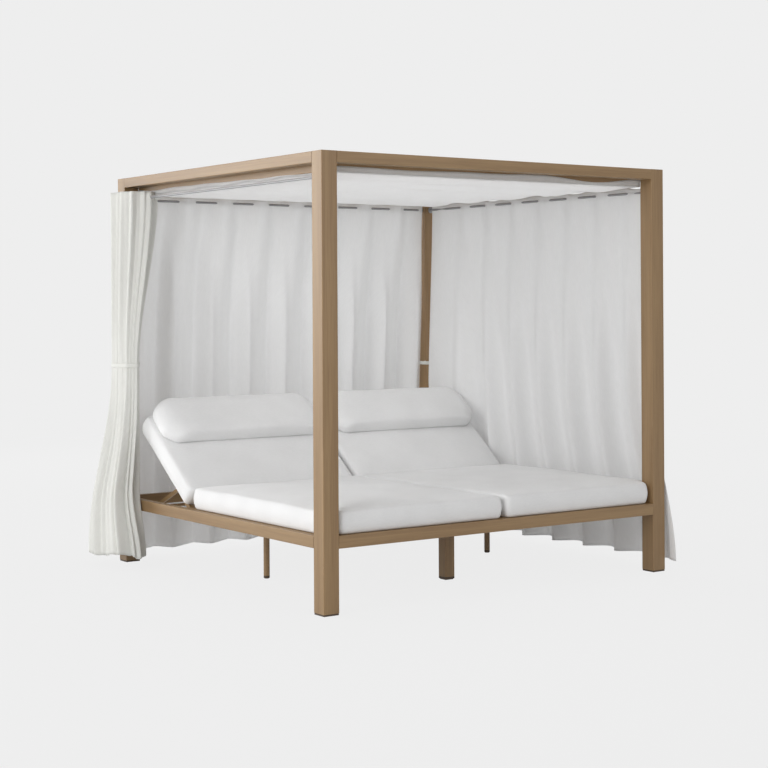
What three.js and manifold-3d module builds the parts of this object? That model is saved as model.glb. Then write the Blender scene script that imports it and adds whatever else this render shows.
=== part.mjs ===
// Outdoor daybed with a canopy: two side by side loungers in a four-post frame hung with curtains.
// Millimetres, +Z up. The origin is on the floor at the middle of the frame. X runs across the bed,
// with the open left side at -X, and Y runs along it, from the open foot at -Y to the head at +Y.

import * as THREE from 'three';
import Module from 'manifold-3d';
import { mergeVertices } from 'three/addons/utils/BufferGeometryUtils.js';

const wasm = await Module();
wasm.setup();

// Driving dimensions of the frame
const frameWidth = 2030;
const frameLength = 1960;
const frameHeight = 2000;
const postSide = 80;
const postWall = 3;
const postTopPlate = 4;
const tubeCorner = 3;
const beamHeight = 50;
const beamWall = 2.5;
const fitGap = 0.3;
const cutOverrun = 5;

// Glides under the posts
const glideHeight = 8;
const glideInset = 2;
const glidePlug = 15;

// Canopy rails, battens and cloth
const canopyRailWidth = 30;
const canopyRailHeight = 64;
const canopyRailDrop = 32;
const canopyRailWall = 2;
const battenDiameter = 16;
const battenCount = 4;
const canopyThickness = 3;
const canopySag = 18;

// Curtain rods
const rodDiameter = 12;
const rodDrop = 110;
const rodFlangeDiameter = 36;
const rodFlangeThickness = 5;

// Curtains
const clothThickness = 4;
const headingHeight = 35;
const hemHeight = 45;
const foldDepthTop = 28;
const foldDepthHead = 28;
const foldDepthRight = 44;
const headFoldPitch = 243;
const headFoldStart = -608;
const rightFoldPitch = 229;
const rightFoldStart = 694;
const headEdgeGap = 20;
const rightEdgeGap = 15;
const headFlare = 92;
const rightFlare = 120;
const rightFrontFlare = 62;
const rightBackFlare = 60;
const rightFrontSwing = 147;
const rightSwingHeight = 900;
const leadRingRadius = 14;
const leadRingWidth = 4;
const leadRingGap = 4;

// Gathered curtain at the back left post: how far the middle of its bundle stands outside the middle of
// the post and ahead of it, and the half sizes of the bundle, at three levels
const bundleTop = { out: 30, ahead: 120, halfX: 90, halfY: 130 };
const bundleTie = { out: 75, ahead: 110, halfX: 50, halfY: 115, z: 1030 };
const bundleHem = { out: 130, ahead: 140, halfX: 60, halfY: 240, z: 700 };
const bundleHemHeight = 30;

// Ties round the two back posts
const tieThickness = 2;
const tieClearance = 0.5;
const leftTieHeight = 36;
const rightTieHeight = 22;
const rightTieLevel = 990;

// Base rails, beams and legs
const railHeight = 55;
const railDepth = 40;
const railTop = 340;
const railWall = 2.5;
const centreBeamWidth = 40;
const crossRailDepth = 30;
const sideLegDiameter = 30;
const sideLegX = 690;
const sideLegY = 30;
const centreLegSide = 56;
const centreLegFromFoot = 465;
const legFootHeight = 14;
const legFootChamfer = 4;

// Seat decks
const deckFrameWidth = 30;
const deckThickness = 22;
const deckSlatThickness = 12;
const deckSlatWidth = 60;
const deckSlatCount = 8;

// Cushions
const cushionOverhang = 25;
const cushionCentreGap = 4;
const seatThickness = 108;
const backThickness = 106;
const cushionCrown = 14;
const backCrown = 6;
const cushionDrawIn = 8;
const drawInRun = 350;
const cushionEdge = 28;
const cushionCorner = 34;
const seatFrontSetback = 5;
const seatHingeGap = 83;
const postNotchGap = 6;
const backCushionLength = 573;
const backCushionOverhang = 40;
const pillowStart = 318;
const pillowLength = 285;
const pillowWidth = 940;
const pillowCorner = 65;
const pillowThickness = 98;
const pillowCrown = 8;
const pillowEdge = 40;

// Backrest, its hinge, its prop and the rack
const backAngle = 38;
const hingeFromHead = 657;
const hingeDrop = 12;
const hingeSetback = 20;
const hingePinDiameter = 10;
const hingeEarThickness = 6;
const hingeEarRadius = 12;
const hingeEarClearance = 3;
const barInset = 20;
const barWidth = 20;
const barHeight = 25;
const backFrameLength = 570;
const weldDepth = 0.5;
const backSlatThickness = 8;
const backSlatWidth = 60;
const backSlatCount = 5;
const propPivot = 160;
const propLength = 315;
const propAngle = 24;
const propArmWidth = 8;
const propArmHeight = 20;
const propArmGap = 3;
const propBarDiameter = 16;
const rackThickness = 6;
const rackTop = 278;
const rackBottom = 238;
const rackClearance = 0.8;
const rackNotchDepth = 6;
const rackTabTop = 306;
const rackTabRun = 30;
const rackTipAngles = [49, 42, 33, 23, 12];

// Numbers of facets
const roundSteps = 20;
const cornerSteps = 2;
const foldSteps = 6;
const cushionRimSteps = 2;
const pillowRimSteps = 4;

// Shares that shape the soft forms
const curtainRowShares = [0, 0.14, 0.32, 0.55, 0.78, 1];
const flareShapeShare = 0.8;
const frontFlareShare = 0.12;
const backFlareShare = 0.75;
const edgeCalmShare = 0.8;
const bundleLowerShares = [0, 0.12, 0.4, 0.66, 0.86, 0.95, 1];
const bundleUpperShares = [0, 0.05, 0.15, 0.32, 0.55, 0.78, 1];
const bundleFoldShare = 0.07;
const bundleTieFoldShare = 0.03;
const bundleFolds = 9;
const bundleSteps = 36;
const pillowWedgeShare = 0.06;
const crownShares = [0.74, 0.4];
const drawInShares = [0.25, 0.5, 0.75];
const canopyBaySteps = 8;

// Heights and half sizes that follow from the above
const halfWidth = frameWidth / 2;
const halfLength = frameLength / 2;
const postX = halfWidth - postSide / 2;
const postY = halfLength - postSide / 2;
const innerHalfWidth = halfWidth - postSide;
const innerHalfLength = halfLength - postSide;
const rodLevel = frameHeight - rodDrop;
const headingTop = rodLevel + headingHeight;
const railMiddle = railTop - railHeight / 2;
const railBottom = railTop - railHeight;
const canopyRailBottom = frameHeight - beamHeight - canopyRailDrop;
const hingeY = halfLength - hingeFromHead;
const hingeZ = railTop - hingeDrop;
const seatEnd = hingeY - seatHingeGap;
const centreLegY = centreLegFromFoot - halfLength;
const loungerInner = centreBeamWidth / 2;
const loungerOuter = halfWidth - railDepth;
const loungerMiddle = (loungerInner + loungerOuter) / 2;
const hingeRailBack = hingeY - hingeSetback;
const hingeRailFront = hingeRailBack - crossRailDepth;
const radians = (degrees) => THREE.MathUtils.degToRad(degrees);

// Finishes
const finish = (color, roughness, metalness) => new THREE.MeshStandardMaterial({ color, roughness, metalness });
const teakCoat = finish(0xc49a6c, 0.55, 0.1);
const darkPlastic = finish(0x2b2824, 0.6, 0);
const brushedSteel = finish(0xa9abad, 0.35, 0.9);
const canopyCloth = finish(0xf1f0ec, 0.9, 0);
const curtainCloth = finish(0xf3f2ee, 0.95, 0);
const cushionCloth = finish(0xf0eeea, 0.9, 0);

const daybed = new THREE.Group();

// Adds one named piece to a parent group, at a place in that group.
function addPiece(parent, name, geometry, material, x = 0, y = 0, z = 0) {
  const piece = new THREE.Mesh(geometry, material);
  piece.name = name;
  piece.position.set(x, y, z);
  parent.add(piece);
}

// Turns a closed geometry into a solid that can be joined and cut.
function toSolid(geometry) {
  const bare = geometry.clone();
  bare.deleteAttribute('normal');
  bare.deleteAttribute('uv');
  const merged = mergeVertices(bare);
  const vertProperties = new Float32Array(merged.attributes.position.array);
  const triVerts = new Uint32Array(merged.index.array);
  return new wasm.Manifold(new wasm.Mesh({ numProp: 3, vertProperties, triVerts }));
}

// Turns a solid back into a geometry.
function toGeometry(solid) {
  const mesh = solid.getMesh();
  const geometry = new THREE.BufferGeometry();
  geometry.setAttribute('position', new THREE.BufferAttribute(mesh.vertProperties, 3));
  geometry.setIndex(new THREE.BufferAttribute(mesh.triVerts, 1));
  geometry.computeVertexNormals();
  return geometry;
}

const joined = (geometries) => geometries.map(toSolid).reduce((whole, next) => whole.add(next));

// Box between two corners, whichever way round they are given along X.
function boxBetween([x0, y0, z0], [x1, y1, z1]) {
  const box = new THREE.BoxGeometry(Math.abs(x1 - x0), y1 - y0, z1 - z0);
  return box.translate((x0 + x1) / 2, (y0 + y1) / 2, (z0 + z1) / 2);
}

// Round bar along X between two places on that axis.
function barAlongX(radius, x0, x1, y, z) {
  const bar = new THREE.CylinderGeometry(radius, radius, Math.abs(x1 - x0), roundSteps);
  return bar.rotateZ(Math.PI / 2).translate((x0 + x1) / 2, y, z);
}

// Rectangle with rounded corners, as a closed shape about its middle.
function roundedRectangle(across, tall, corner) {
  const x = across / 2;
  const y = tall / 2;
  const shape = new THREE.Shape();
  shape.moveTo(corner - x, -y);
  shape.lineTo(x - corner, -y);
  shape.absarc(x - corner, corner - y, corner, -Math.PI / 2, 0);
  shape.lineTo(x, y - corner);
  shape.absarc(x - corner, y - corner, corner, 0, Math.PI / 2);
  shape.lineTo(corner - x, y);
  shape.absarc(corner - x, y - corner, corner, Math.PI / 2, Math.PI);
  shape.lineTo(-x, corner - y);
  shape.absarc(corner - x, corner - y, corner, Math.PI, Math.PI * 3 / 2);
  return shape;
}

// Rectangular tube about the origin, run along Z, with open ends.
function tube(across, tall, wall, run) {
  const shape = roundedRectangle(across, tall, tubeCorner);
  const x = across / 2 - wall;
  const y = tall / 2 - wall;
  shape.holes.push(new THREE.Path([[-x, -y], [-x, y], [x, y], [x, -y]].map((p) => new THREE.Vector2(...p))));
  const geometry = new THREE.ExtrudeGeometry(shape, { depth: run, curveSegments: cornerSteps, bevelEnabled: false });
  return geometry.translate(0, 0, -run / 2);
}

// Exact quarter turns that lay a piece made along Z along X or along Y, with its own Y upright.
const layAlongX = new THREE.Matrix4().makeBasis(
  new THREE.Vector3(0, 1, 0), new THREE.Vector3(0, 0, 1), new THREE.Vector3(1, 0, 0));
const layAlongY = new THREE.Matrix4().makeBasis(
  new THREE.Vector3(-1, 0, 0), new THREE.Vector3(0, 0, 1), new THREE.Vector3(0, 1, 0));
const tubeAlongX = (...sizes) => tube(...sizes).applyMatrix4(layAlongX);
const tubeAlongY = (...sizes) => tube(...sizes).applyMatrix4(layAlongY);

const corners = [
  { name: 'front_left', x: -1, y: -1 },
  { name: 'front_right', x: 1, y: -1 },
  { name: 'back_left', x: -1, y: 1 },
  { name: 'back_right', x: 1, y: 1 },
];
const sides = [{ name: 'left', x: -1 }, { name: 'right', x: 1 }];
const ends = [{ name: 'foot', y: -1 }, { name: 'head', y: 1 }];

// Posts: square tubes with a welded top plate, each on a plastic glide plugged into its open end
function postGeometry() {
  const run = frameHeight - glideHeight - fitGap;
  const outer = new THREE.ExtrudeGeometry(roundedRectangle(postSide, postSide, tubeCorner),
    { depth: run, curveSegments: cornerSteps, bevelEnabled: false });
  const bore = postSide / 2 - postWall;
  const inner = boxBetween([-bore, -bore, -cutOverrun], [bore, bore, run - postTopPlate]);
  return toGeometry(toSolid(outer).subtract(toSolid(inner)));
}

function glideGeometry() {
  const half = postSide / 2 - glideInset;
  const plug = postSide / 2 - postWall - fitGap;
  return toGeometry(joined([
    boxBetween([-half, -half, 0], [half, half, glideHeight]),
    boxBetween([-plug, -plug, glideHeight / 2], [plug, plug, glideHeight + glidePlug]),
  ]));
}

for (const corner of corners) {
  const x = corner.x * postX;
  const y = corner.y * postY;
  addPiece(daybed, `post_${corner.name}`, postGeometry(), teakCoat, x, y, glideHeight + fitGap);
  addPiece(daybed, `glide_${corner.name}`, glideGeometry(), darkPlastic, x, y, 0);
}

// Top beams and base rails between the posts
const crossRun = 2 * (innerHalfWidth - fitGap);
const alongRun = 2 * (innerHalfLength - fitGap);
const beamLevel = frameHeight - beamHeight / 2;
const railX = halfWidth - railDepth / 2;
const railY = halfLength - railDepth / 2;
for (const end of ends) {
  const beam = tubeAlongX(postSide, beamHeight, beamWall, crossRun);
  addPiece(daybed, `beam_${end.name}`, beam, teakCoat, 0, end.y * postY, beamLevel);
  const rail = tubeAlongX(railDepth, railHeight, railWall, crossRun);
  addPiece(daybed, `rail_${end.name}`, rail, teakCoat, 0, end.y * railY, railMiddle);
}
for (const side of sides) {
  const beam = tubeAlongY(postSide, beamHeight, beamWall, alongRun);
  addPiece(daybed, `beam_${side.name}`, beam, teakCoat, side.x * postX, 0, beamLevel);
  const rail = tubeAlongY(railDepth, railHeight, railWall, alongRun);
  addPiece(daybed, `rail_${side.name}`, rail, teakCoat, side.x * railX, 0, railMiddle);
}

// Canopy rails inside the beams, with the battens that the cloth hangs from
const canopyRailLevel = canopyRailBottom + canopyRailHeight / 2;
const canopyRailX = innerHalfWidth - fitGap - canopyRailWidth / 2;
const canopyRailY = innerHalfLength - fitGap - canopyRailWidth / 2;
const battenReach = canopyRailX - canopyRailWidth / 2 - fitGap;
const battenLevel = canopyRailBottom + battenDiameter / 2;
const canopyBay = 2 * canopyRailY / (battenCount + 1);
for (const side of sides) {
  const rail = tubeAlongY(canopyRailWidth, canopyRailHeight, canopyRailWall, alongRun);
  addPiece(daybed, `canopy_rail_${side.name}`, rail, teakCoat, side.x * canopyRailX, 0, canopyRailLevel);
}
for (const end of ends) {
  const rail = tubeAlongX(canopyRailWidth, canopyRailHeight, canopyRailWall, 2 * battenReach);
  addPiece(daybed, `canopy_rail_${end.name}`, rail, teakCoat, 0, end.y * canopyRailY, canopyRailLevel);
}
for (let i = 0; i < battenCount; i += 1) {
  const y = canopyBay * (i + 1) - canopyRailY;
  const batten = barAlongX(battenDiameter / 2, -battenReach, battenReach, y, battenLevel);
  addPiece(daybed, `canopy_batten_${i + 1}`, batten, brushedSteel);
}

// Canopy cloth: one sheet under the rails and battens, sagging a little in each bay
function canopyGeometry() {
  const reach = innerHalfLength - fitGap;
  const bays = battenCount + 1;
  const steps = bays * canopyBaySteps;
  const top = canopyRailBottom - fitGap;
  const upper = [new THREE.Vector2(-reach, top)];
  for (let i = 0; i <= steps; i += 1) {
    const y = canopyBay * i / canopyBaySteps - canopyRailY;
    const drop = canopySag * Math.sin(Math.PI * i / canopyBaySteps) ** 2;
    upper.push(new THREE.Vector2(y, top - drop));
  }
  upper.push(new THREE.Vector2(reach, top));
  const lower = upper.map((p) => new THREE.Vector2(p.x, p.y - canopyThickness)).reverse();
  const shape = new THREE.Shape([...upper, ...lower]);
  const run = 2 * (innerHalfWidth - fitGap);
  const sheet = new THREE.ExtrudeGeometry(shape, { depth: run, bevelEnabled: false });
  return sheet.translate(0, 0, -run / 2).applyMatrix4(layAlongX);
}
addPiece(daybed, 'canopy_cloth', canopyGeometry(), canopyCloth);

// Curtain rods with turned end flanges, under the head, left and right beams
function rodGeometry(run) {
  const half = run / 2;
  const profile = [
    [0, -half], [rodFlangeDiameter / 2, -half], [rodFlangeDiameter / 2, rodFlangeThickness - half],
    [rodDiameter / 2, rodFlangeThickness - half], [rodDiameter / 2, half - rodFlangeThickness],
    [rodFlangeDiameter / 2, half - rodFlangeThickness], [rodFlangeDiameter / 2, half], [0, half],
  ];
  return new THREE.LatheGeometry(profile.map((p) => new THREE.Vector2(...p)), roundSteps);
}
addPiece(daybed, 'curtain_rod_head', rodGeometry(crossRun).rotateZ(Math.PI / 2), brushedSteel, 0, postY, rodLevel);
for (const side of sides) {
  addPiece(daybed, `curtain_rod_${side.name}`, rodGeometry(alongRun), brushedSteel, side.x * postX, 0, rodLevel);
}

// Thin closed sheet about a middle surface: pointAt gives a point for a column and a row of the grid, and
// the cloth stands half its thickness to both sides, along the level direction square to the columns.
function sheetGeometry(pointAt, columns, rows) {
  const across = columns + 1;
  const layer = across * rows;
  const positions = new Array(2 * layer);
  for (let row = 0; row < rows; row += 1) {
    for (let column = 0; column < across; column += 1) {
      const here = pointAt(column, row);
      const before = pointAt(column - 1, row);
      const after = pointAt(column + 1, row);
      const run = Math.hypot(after.x - before.x, after.y - before.y);
      const out = new THREE.Vector3((after.y - before.y) / run, (before.x - after.x) / run, 0);
      const index = row * across + column;
      positions[index] = here.clone().addScaledVector(out, clothThickness / 2);
      positions[layer + index] = here.clone().addScaledVector(out, -clothThickness / 2);
    }
  }
  const faces = [];
  const quad = (a, b, c, d) => faces.push(a, b, c, a, c, d);
  for (let row = 0; row < rows - 1; row += 1) {
    for (let column = 0; column < columns; column += 1) {
      const a = row * across + column;
      quad(a, a + 1, a + 1 + across, a + across);
      quad(layer + a + across, layer + a + 1 + across, layer + a + 1, layer + a);
    }
    const left = row * across;
    const right = left + columns;
    quad(layer + left, left, left + across, layer + left + across);
    quad(right, layer + right, layer + right + across, right + across);
  }
  for (let column = 0; column < columns; column += 1) {
    const top = (rows - 1) * across + column;
    quad(layer + column, layer + column + 1, column + 1, column);
    quad(top, top + 1, layer + top + 1, layer + top);
  }
  const geometry = new THREE.BufferGeometry().setFromPoints(positions);
  geometry.setIndex(faces);
  return geometry;
}

const eased = (share) => THREE.MathUtils.smoothstep(share, 0, 1);
const curtainRow = (row) => THREE.MathUtils.lerp(hemHeight, headingTop, curtainRowShares[row]);
const flareShare = (z) => Math.max(0, (rodLevel - z) / (rodLevel - hemHeight)) ** flareShapeShare;

// Drawn curtain at the head. It weaves round its rod, a fold's outer crest at each pitch, and stands
// further out lower down, where it hangs outside the head rail.
function headCurtainGeometry() {
  const reach = innerHalfWidth - headEdgeGap;
  const columns = Math.round(2 * reach / headFoldPitch * foldSteps);
  const pointAt = (column, row) => {
    const z = curtainRow(row);
    const x = reach - 2 * reach * column / columns;
    const depth = THREE.MathUtils.lerp(foldDepthTop, foldDepthHead, flareShare(z));
    const y = postY + headFlare * flareShare(z) + depth * Math.cos(2 * Math.PI * (x - headFoldStart) / headFoldPitch);
    return new THREE.Vector3(x, y, z);
  };
  const cloth = toSolid(sheetGeometry(pointAt, columns, curtainRowShares.length));
  const bore = barAlongX(rodDiameter / 2 + fitGap, -halfWidth, halfWidth, postY, rodLevel);
  return toGeometry(cloth.subtract(toSolid(bore)));
}

// Drawn curtain on the right. Its front edge swings forward past the front right post towards the hem,
// and its back edge hangs close to the back right post until it has to clear the rail. Its folds are
// calm at both edges.
function rightCurtainGeometry() {
  const reach = innerHalfLength - rightEdgeGap;
  const columns = Math.round(2 * reach / rightFoldPitch * foldSteps);
  const pointAt = (column, row) => {
    const z = curtainRow(row);
    const share = column / columns;
    const frontSwing = rightFrontSwing * eased((rightSwingHeight - z) / (rightSwingHeight - hemHeight));
    const level = THREE.MathUtils.lerp(-reach, reach, share);
    const y = level - frontSwing * (1 - share);
    const wave = Math.cos(2 * Math.PI * (level - rightFoldStart) / rightFoldPitch);
    const backFlare = rightBackFlare * eased((rightSwingHeight - z) / (rightSwingHeight - railTop));
    const nearFront = eased((frontFlareShare - share) / frontFlareShare);
    const nearBack = eased((share - backFlareShare) / (1 - backFlareShare));
    const flare = THREE.MathUtils.lerp(rightFlare, rightFrontFlare, nearFront) * flareShare(z) * (1 - nearBack)
      + backFlare * nearBack;
    const depth = THREE.MathUtils.lerp(foldDepthTop, foldDepthRight, flareShare(z))
      * (1 - edgeCalmShare * Math.max(nearFront, nearBack));
    return new THREE.Vector3(postX + flare + depth * wave, y, z);
  };
  const cloth = toSolid(sheetGeometry(pointAt, columns, curtainRowShares.length));
  const bore = new THREE.CylinderGeometry(
    rodDiameter / 2 + fitGap, rodDiameter / 2 + fitGap, frameLength, roundSteps).translate(postX, 0, rodLevel);
  return toGeometry(cloth.subtract(toSolid(bore)));
}
addPiece(daybed, 'curtain_head', headCurtainGeometry(), curtainCloth);
addPiece(daybed, 'curtain_right', rightCurtainGeometry(), curtainCloth);

// Lead eyelets that draw those two curtains along their rods
function leadRingGeometry() {
  const inner = rodDiameter / 2 + fitGap;
  const half = leadRingWidth / 2;
  const profile = [[inner, -half], [leadRingRadius, -half], [leadRingRadius, half], [inner, half], [inner, -half]];
  return new THREE.LatheGeometry(profile.map((p) => new THREE.Vector2(...p)), roundSteps);
}
const headLeadX = headEdgeGap - innerHalfWidth - leadRingGap - leadRingWidth / 2;
const rightLeadY = rightEdgeGap - innerHalfLength - leadRingGap - leadRingWidth / 2;
addPiece(daybed, 'lead_eyelet_head', leadRingGeometry().rotateZ(Math.PI / 2), brushedSteel, headLeadX, postY, rodLevel);
addPiece(daybed, 'lead_eyelet_right', leadRingGeometry(), brushedSteel, postX, rightLeadY, rodLevel);

// Gathered curtain: level rings from the heading to the tie and down to the hem, each an ellipse with
// folds, cut back where the post and the rod pass and under the canopy.
function bundleSection(z) {
  if (z >= bundleTie.z) {
    const share = eased((headingTop - z) / (headingTop - bundleTie.z));
    const blend = (key) => THREE.MathUtils.lerp(bundleTop[key], bundleTie[key], share);
    return { x: -postX - blend('out'), y: postY - blend('ahead'), halfX: blend('halfX'), halfY: blend('halfY') };
  }
  const away = eased((bundleTie.z - z) / (bundleTie.z - bundleHem.z));
  const spread = eased((bundleTie.z - z) / (bundleTie.z - bundleHemHeight));
  return {
    x: -postX - THREE.MathUtils.lerp(bundleTie.out, bundleHem.out, away),
    y: postY - THREE.MathUtils.lerp(bundleTie.ahead, bundleHem.ahead, away),
    halfX: THREE.MathUtils.lerp(bundleTie.halfX, bundleHem.halfX, spread),
    halfY: THREE.MathUtils.lerp(bundleTie.halfY, bundleHem.halfY, spread),
  };
}

function bundleRing(z) {
  const section = bundleSection(z);
  const slack = Math.min(1, Math.abs(z - bundleTie.z) / (bundleTie.z - bundleHem.z));
  const fold = THREE.MathUtils.lerp(bundleTieFoldShare, bundleFoldShare, slack);
  const ring = [];
  for (let i = 0; i < bundleSteps; i += 1) {
    const angle = 2 * Math.PI * i / bundleSteps;
    const reach = 1 + fold * Math.cos(bundleFolds * angle);
    ring.push(new THREE.Vector3(section.x + section.halfX * reach * Math.cos(angle),
      section.y + section.halfY * reach * Math.sin(angle), z));
  }
  return ring;
}

// Closed solid through level rings of equal length, with a fan over the first and the last ring.
function loftGeometry(rings) {
  const steps = rings[0].length;
  const middle = (ring) => ring.reduce((sum, p) => sum.add(p), new THREE.Vector3()).divideScalar(steps);
  const positions = [...rings.flat(), middle(rings[0]), middle(rings[rings.length - 1])];
  const first = positions.length - 2;
  const last = positions.length - 1;
  const top = (rings.length - 1) * steps;
  const faces = [];
  for (let i = 0; i < steps; i += 1) {
    const next = (i + 1) % steps;
    for (let row = 0; row < rings.length - 1; row += 1) {
      const a = row * steps + i;
      const b = row * steps + next;
      faces.push(a, b, b + steps, a, b + steps, a + steps);
    }
    faces.push(first, next, i);
    faces.push(last, top + i, top + next);
  }
  const geometry = new THREE.BufferGeometry().setFromPoints(positions);
  geometry.setIndex(faces);
  return geometry;
}

const tieLow = bundleTie.z - leftTieHeight / 2;
const tieHigh = bundleTie.z + leftTieHeight / 2;
function gatheredCurtainGeometry() {
  const levels = [
    ...bundleLowerShares.map((share) => THREE.MathUtils.lerp(bundleHemHeight, tieLow, share)),
    ...bundleUpperShares.map((share) => THREE.MathUtils.lerp(tieHigh, headingTop, share)),
  ];
  const rings = levels.map(bundleRing);
  const post = boxBetween([-halfWidth - fitGap, innerHalfLength - fitGap, 0],
    [fitGap - innerHalfWidth, halfLength + fitGap, frameHeight]);
  const bore = new THREE.CylinderGeometry(
    rodDiameter / 2 + fitGap, rodDiameter / 2 + fitGap, frameLength, roundSteps).translate(-postX, 0, rodLevel);
  const flange = new THREE.CylinderGeometry(rodFlangeDiameter / 2 + fitGap, rodFlangeDiameter / 2 + fitGap,
    2 * (rodFlangeThickness + fitGap), roundSteps).translate(-postX, innerHalfLength, rodLevel);
  const canopy = boxBetween([-innerHalfWidth, 0, canopyRailBottom - canopyThickness - canopySag - fitGap],
    [0, halfLength, frameHeight]);
  const cloth = toSolid(loftGeometry(rings));
  return toGeometry([post, bore, flange, canopy].reduce((rest, cut) => rest.subtract(toSolid(cut)), cloth));
}
addPiece(daybed, 'curtain_left', gatheredCurtainGeometry(), curtainCloth);

// Loop round a set of points: the outline of discs about them, as a closed shape.
function loopShape(points, distance) {
  const cloud = [];
  for (const point of points) {
    for (let i = 0; i < roundSteps; i += 1) {
      const angle = 2 * Math.PI * i / roundSteps;
      cloud.push(new THREE.Vector2(point.x + distance * Math.cos(angle), point.y + distance * Math.sin(angle)));
    }
  }
  cloud.sort((a, b) => a.x - b.x || a.y - b.y);
  const turn = (a, b, c) => (b.x - a.x) * (c.y - a.y) - (b.y - a.y) * (c.x - a.x);
  const chain = (list) => {
    const kept = [];
    for (const point of list) {
      while (kept.length > 1 && turn(kept[kept.length - 2], kept[kept.length - 1], point) <= 0) kept.pop();
      kept.push(point);
    }
    return kept.slice(0, -1);
  };
  return new THREE.Shape([...chain(cloud), ...chain([...cloud].reverse())]);
}

function tieGeometry(points, height) {
  const extrude = (shape, depth) => new THREE.ExtrudeGeometry(shape, { depth, bevelEnabled: false });
  const outer = extrude(loopShape(points, tieClearance + tieThickness), height);
  const inner = extrude(loopShape(points, tieClearance), height + 2 * cutOverrun).translate(0, 0, -cutOverrun);
  return toGeometry(toSolid(outer).subtract(toSolid(inner)));
}

function postOutline(xSide) {
  const x = [innerHalfWidth, halfWidth].map((value) => xSide * value);
  return [innerHalfLength, halfLength].flatMap((y) => x.map((value) => new THREE.Vector2(value, y)));
}
const tiedRing = [tieLow, tieHigh].flatMap(bundleRing);
addPiece(daybed, 'tie_left', tieGeometry([...postOutline(-1), ...tiedRing], leftTieHeight), curtainCloth,
  0, 0, tieLow);
addPiece(daybed, 'tie_right', tieGeometry(postOutline(1), rightTieHeight), curtainCloth,
  0, 0, rightTieLevel - rightTieHeight / 2);

// Centre beam, mid cross rails and hinge rails inside the base
const baseInnerLength = halfLength - railDepth - fitGap;
addPiece(daybed, 'centre_beam', tubeAlongY(centreBeamWidth, railHeight, railWall, 2 * baseInnerLength), teakCoat,
  0, 0, railMiddle);
const crossRailRun = loungerOuter - loungerInner - 2 * fitGap;
const crossRailTop = railTop - deckThickness - fitGap;
const crossRailHeight = crossRailTop - railBottom;
const earX = [
  loungerInner + barInset - hingeEarClearance - hingeEarThickness,
  loungerOuter - barInset + hingeEarClearance,
];

function hingeRailGeometry(side) {
  const rail = tubeAlongX(crossRailDepth, railHeight, railWall, crossRailRun);
  rail.translate(side * loungerMiddle, hingeRailBack - crossRailDepth / 2, railMiddle);
  const ears = earX.flatMap((x) => [
    boxBetween([side * x, hingeRailBack - railWall / 2, hingeZ - hingeEarRadius],
      [side * (x + hingeEarThickness), hingeY, hingeZ + hingeEarRadius]),
    barAlongX(hingeEarRadius, side * x, side * (x + hingeEarThickness), hingeY, hingeZ),
  ]);
  const bore = barAlongX(hingePinDiameter / 2 + fitGap, 0, side * halfWidth, hingeY, hingeZ);
  return toGeometry(joined([rail, ...ears]).subtract(toSolid(bore)));
}

for (const side of sides) {
  const cross = tubeAlongX(crossRailDepth, crossRailHeight, railWall, crossRailRun);
  addPiece(daybed, `mid_rail_${side.name}`, cross, teakCoat,
    side.x * loungerMiddle, sideLegY, railBottom + crossRailHeight / 2);
  addPiece(daybed, `hinge_rail_${side.name}`, hingeRailGeometry(side.x), teakCoat);
}

// Legs under the cross rails and the centre beam, each in a dark plastic foot
const legTop = railBottom - fitGap;
const legRun = legTop - legFootHeight - fitGap;
const legMiddle = legTop - legRun / 2;
function roundFootGeometry() {
  const radius = sideLegDiameter / 2;
  const profile = [[0, 0], [radius - legFootChamfer, 0], [radius, legFootChamfer], [radius, legFootHeight],
    [0, legFootHeight]];
  return new THREE.LatheGeometry(profile.map((p) => new THREE.Vector2(...p)), roundSteps).rotateX(Math.PI / 2);
}
function squareFootGeometry() {
  const layer = (side, bottom) => new THREE.ExtrudeGeometry(roundedRectangle(side, side, tubeCorner),
    { depth: legFootHeight - bottom, curveSegments: cornerSteps, bevelEnabled: false }).translate(0, 0, bottom);
  return toGeometry(joined([layer(centreLegSide - 2 * legFootChamfer, 0), layer(centreLegSide, legFootChamfer)]));
}
for (const side of sides) {
  const leg = new THREE.CylinderGeometry(sideLegDiameter / 2, sideLegDiameter / 2, legRun, roundSteps);
  leg.rotateX(Math.PI / 2);
  addPiece(daybed, `leg_${side.name}`, leg, teakCoat, side.x * sideLegX, sideLegY, legMiddle);
  addPiece(daybed, `leg_foot_${side.name}`, roundFootGeometry(), darkPlastic, side.x * sideLegX, sideLegY, 0);
}
addPiece(daybed, 'leg_centre', tube(centreLegSide, centreLegSide, railWall, legRun), teakCoat, 0, centreLegY, legMiddle);
addPiece(daybed, 'leg_foot_centre', squareFootGeometry(), darkPlastic, 0, centreLegY, 0);

// Seat decks behind the front posts: a welded frame with slats across it
const deckFront = fitGap - innerHalfLength;
const deckBack = hingeRailFront - fitGap;
function deckGeometry(side) {
  const inner = side * (loungerInner + fitGap);
  const outer = side * (loungerOuter - fitGap);
  const bottom = railTop - deckThickness;
  const outside = boxBetween([inner, deckFront, bottom], [outer, deckBack, railTop]);
  const inside = boxBetween(
    [inner + side * deckFrameWidth, deckFront + deckFrameWidth, bottom - cutOverrun],
    [outer - side * deckFrameWidth, deckBack - deckFrameWidth, railTop + cutOverrun]);
  const slats = [];
  const open = deckBack - deckFront - 2 * deckFrameWidth - deckSlatCount * deckSlatWidth;
  const step = open / (deckSlatCount + 1) + deckSlatWidth;
  for (let i = 0; i < deckSlatCount; i += 1) {
    const y = deckFront + deckFrameWidth + step * (i + 1) - deckSlatWidth;
    slats.push(boxBetween([inner + side * deckFrameWidth / 2, y, railTop - deckSlatThickness],
      [outer - side * deckFrameWidth / 2, y + deckSlatWidth, railTop]));
  }
  return toGeometry(toSolid(outside).subtract(toSolid(inside)).add(joined(slats)));
}
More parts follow.
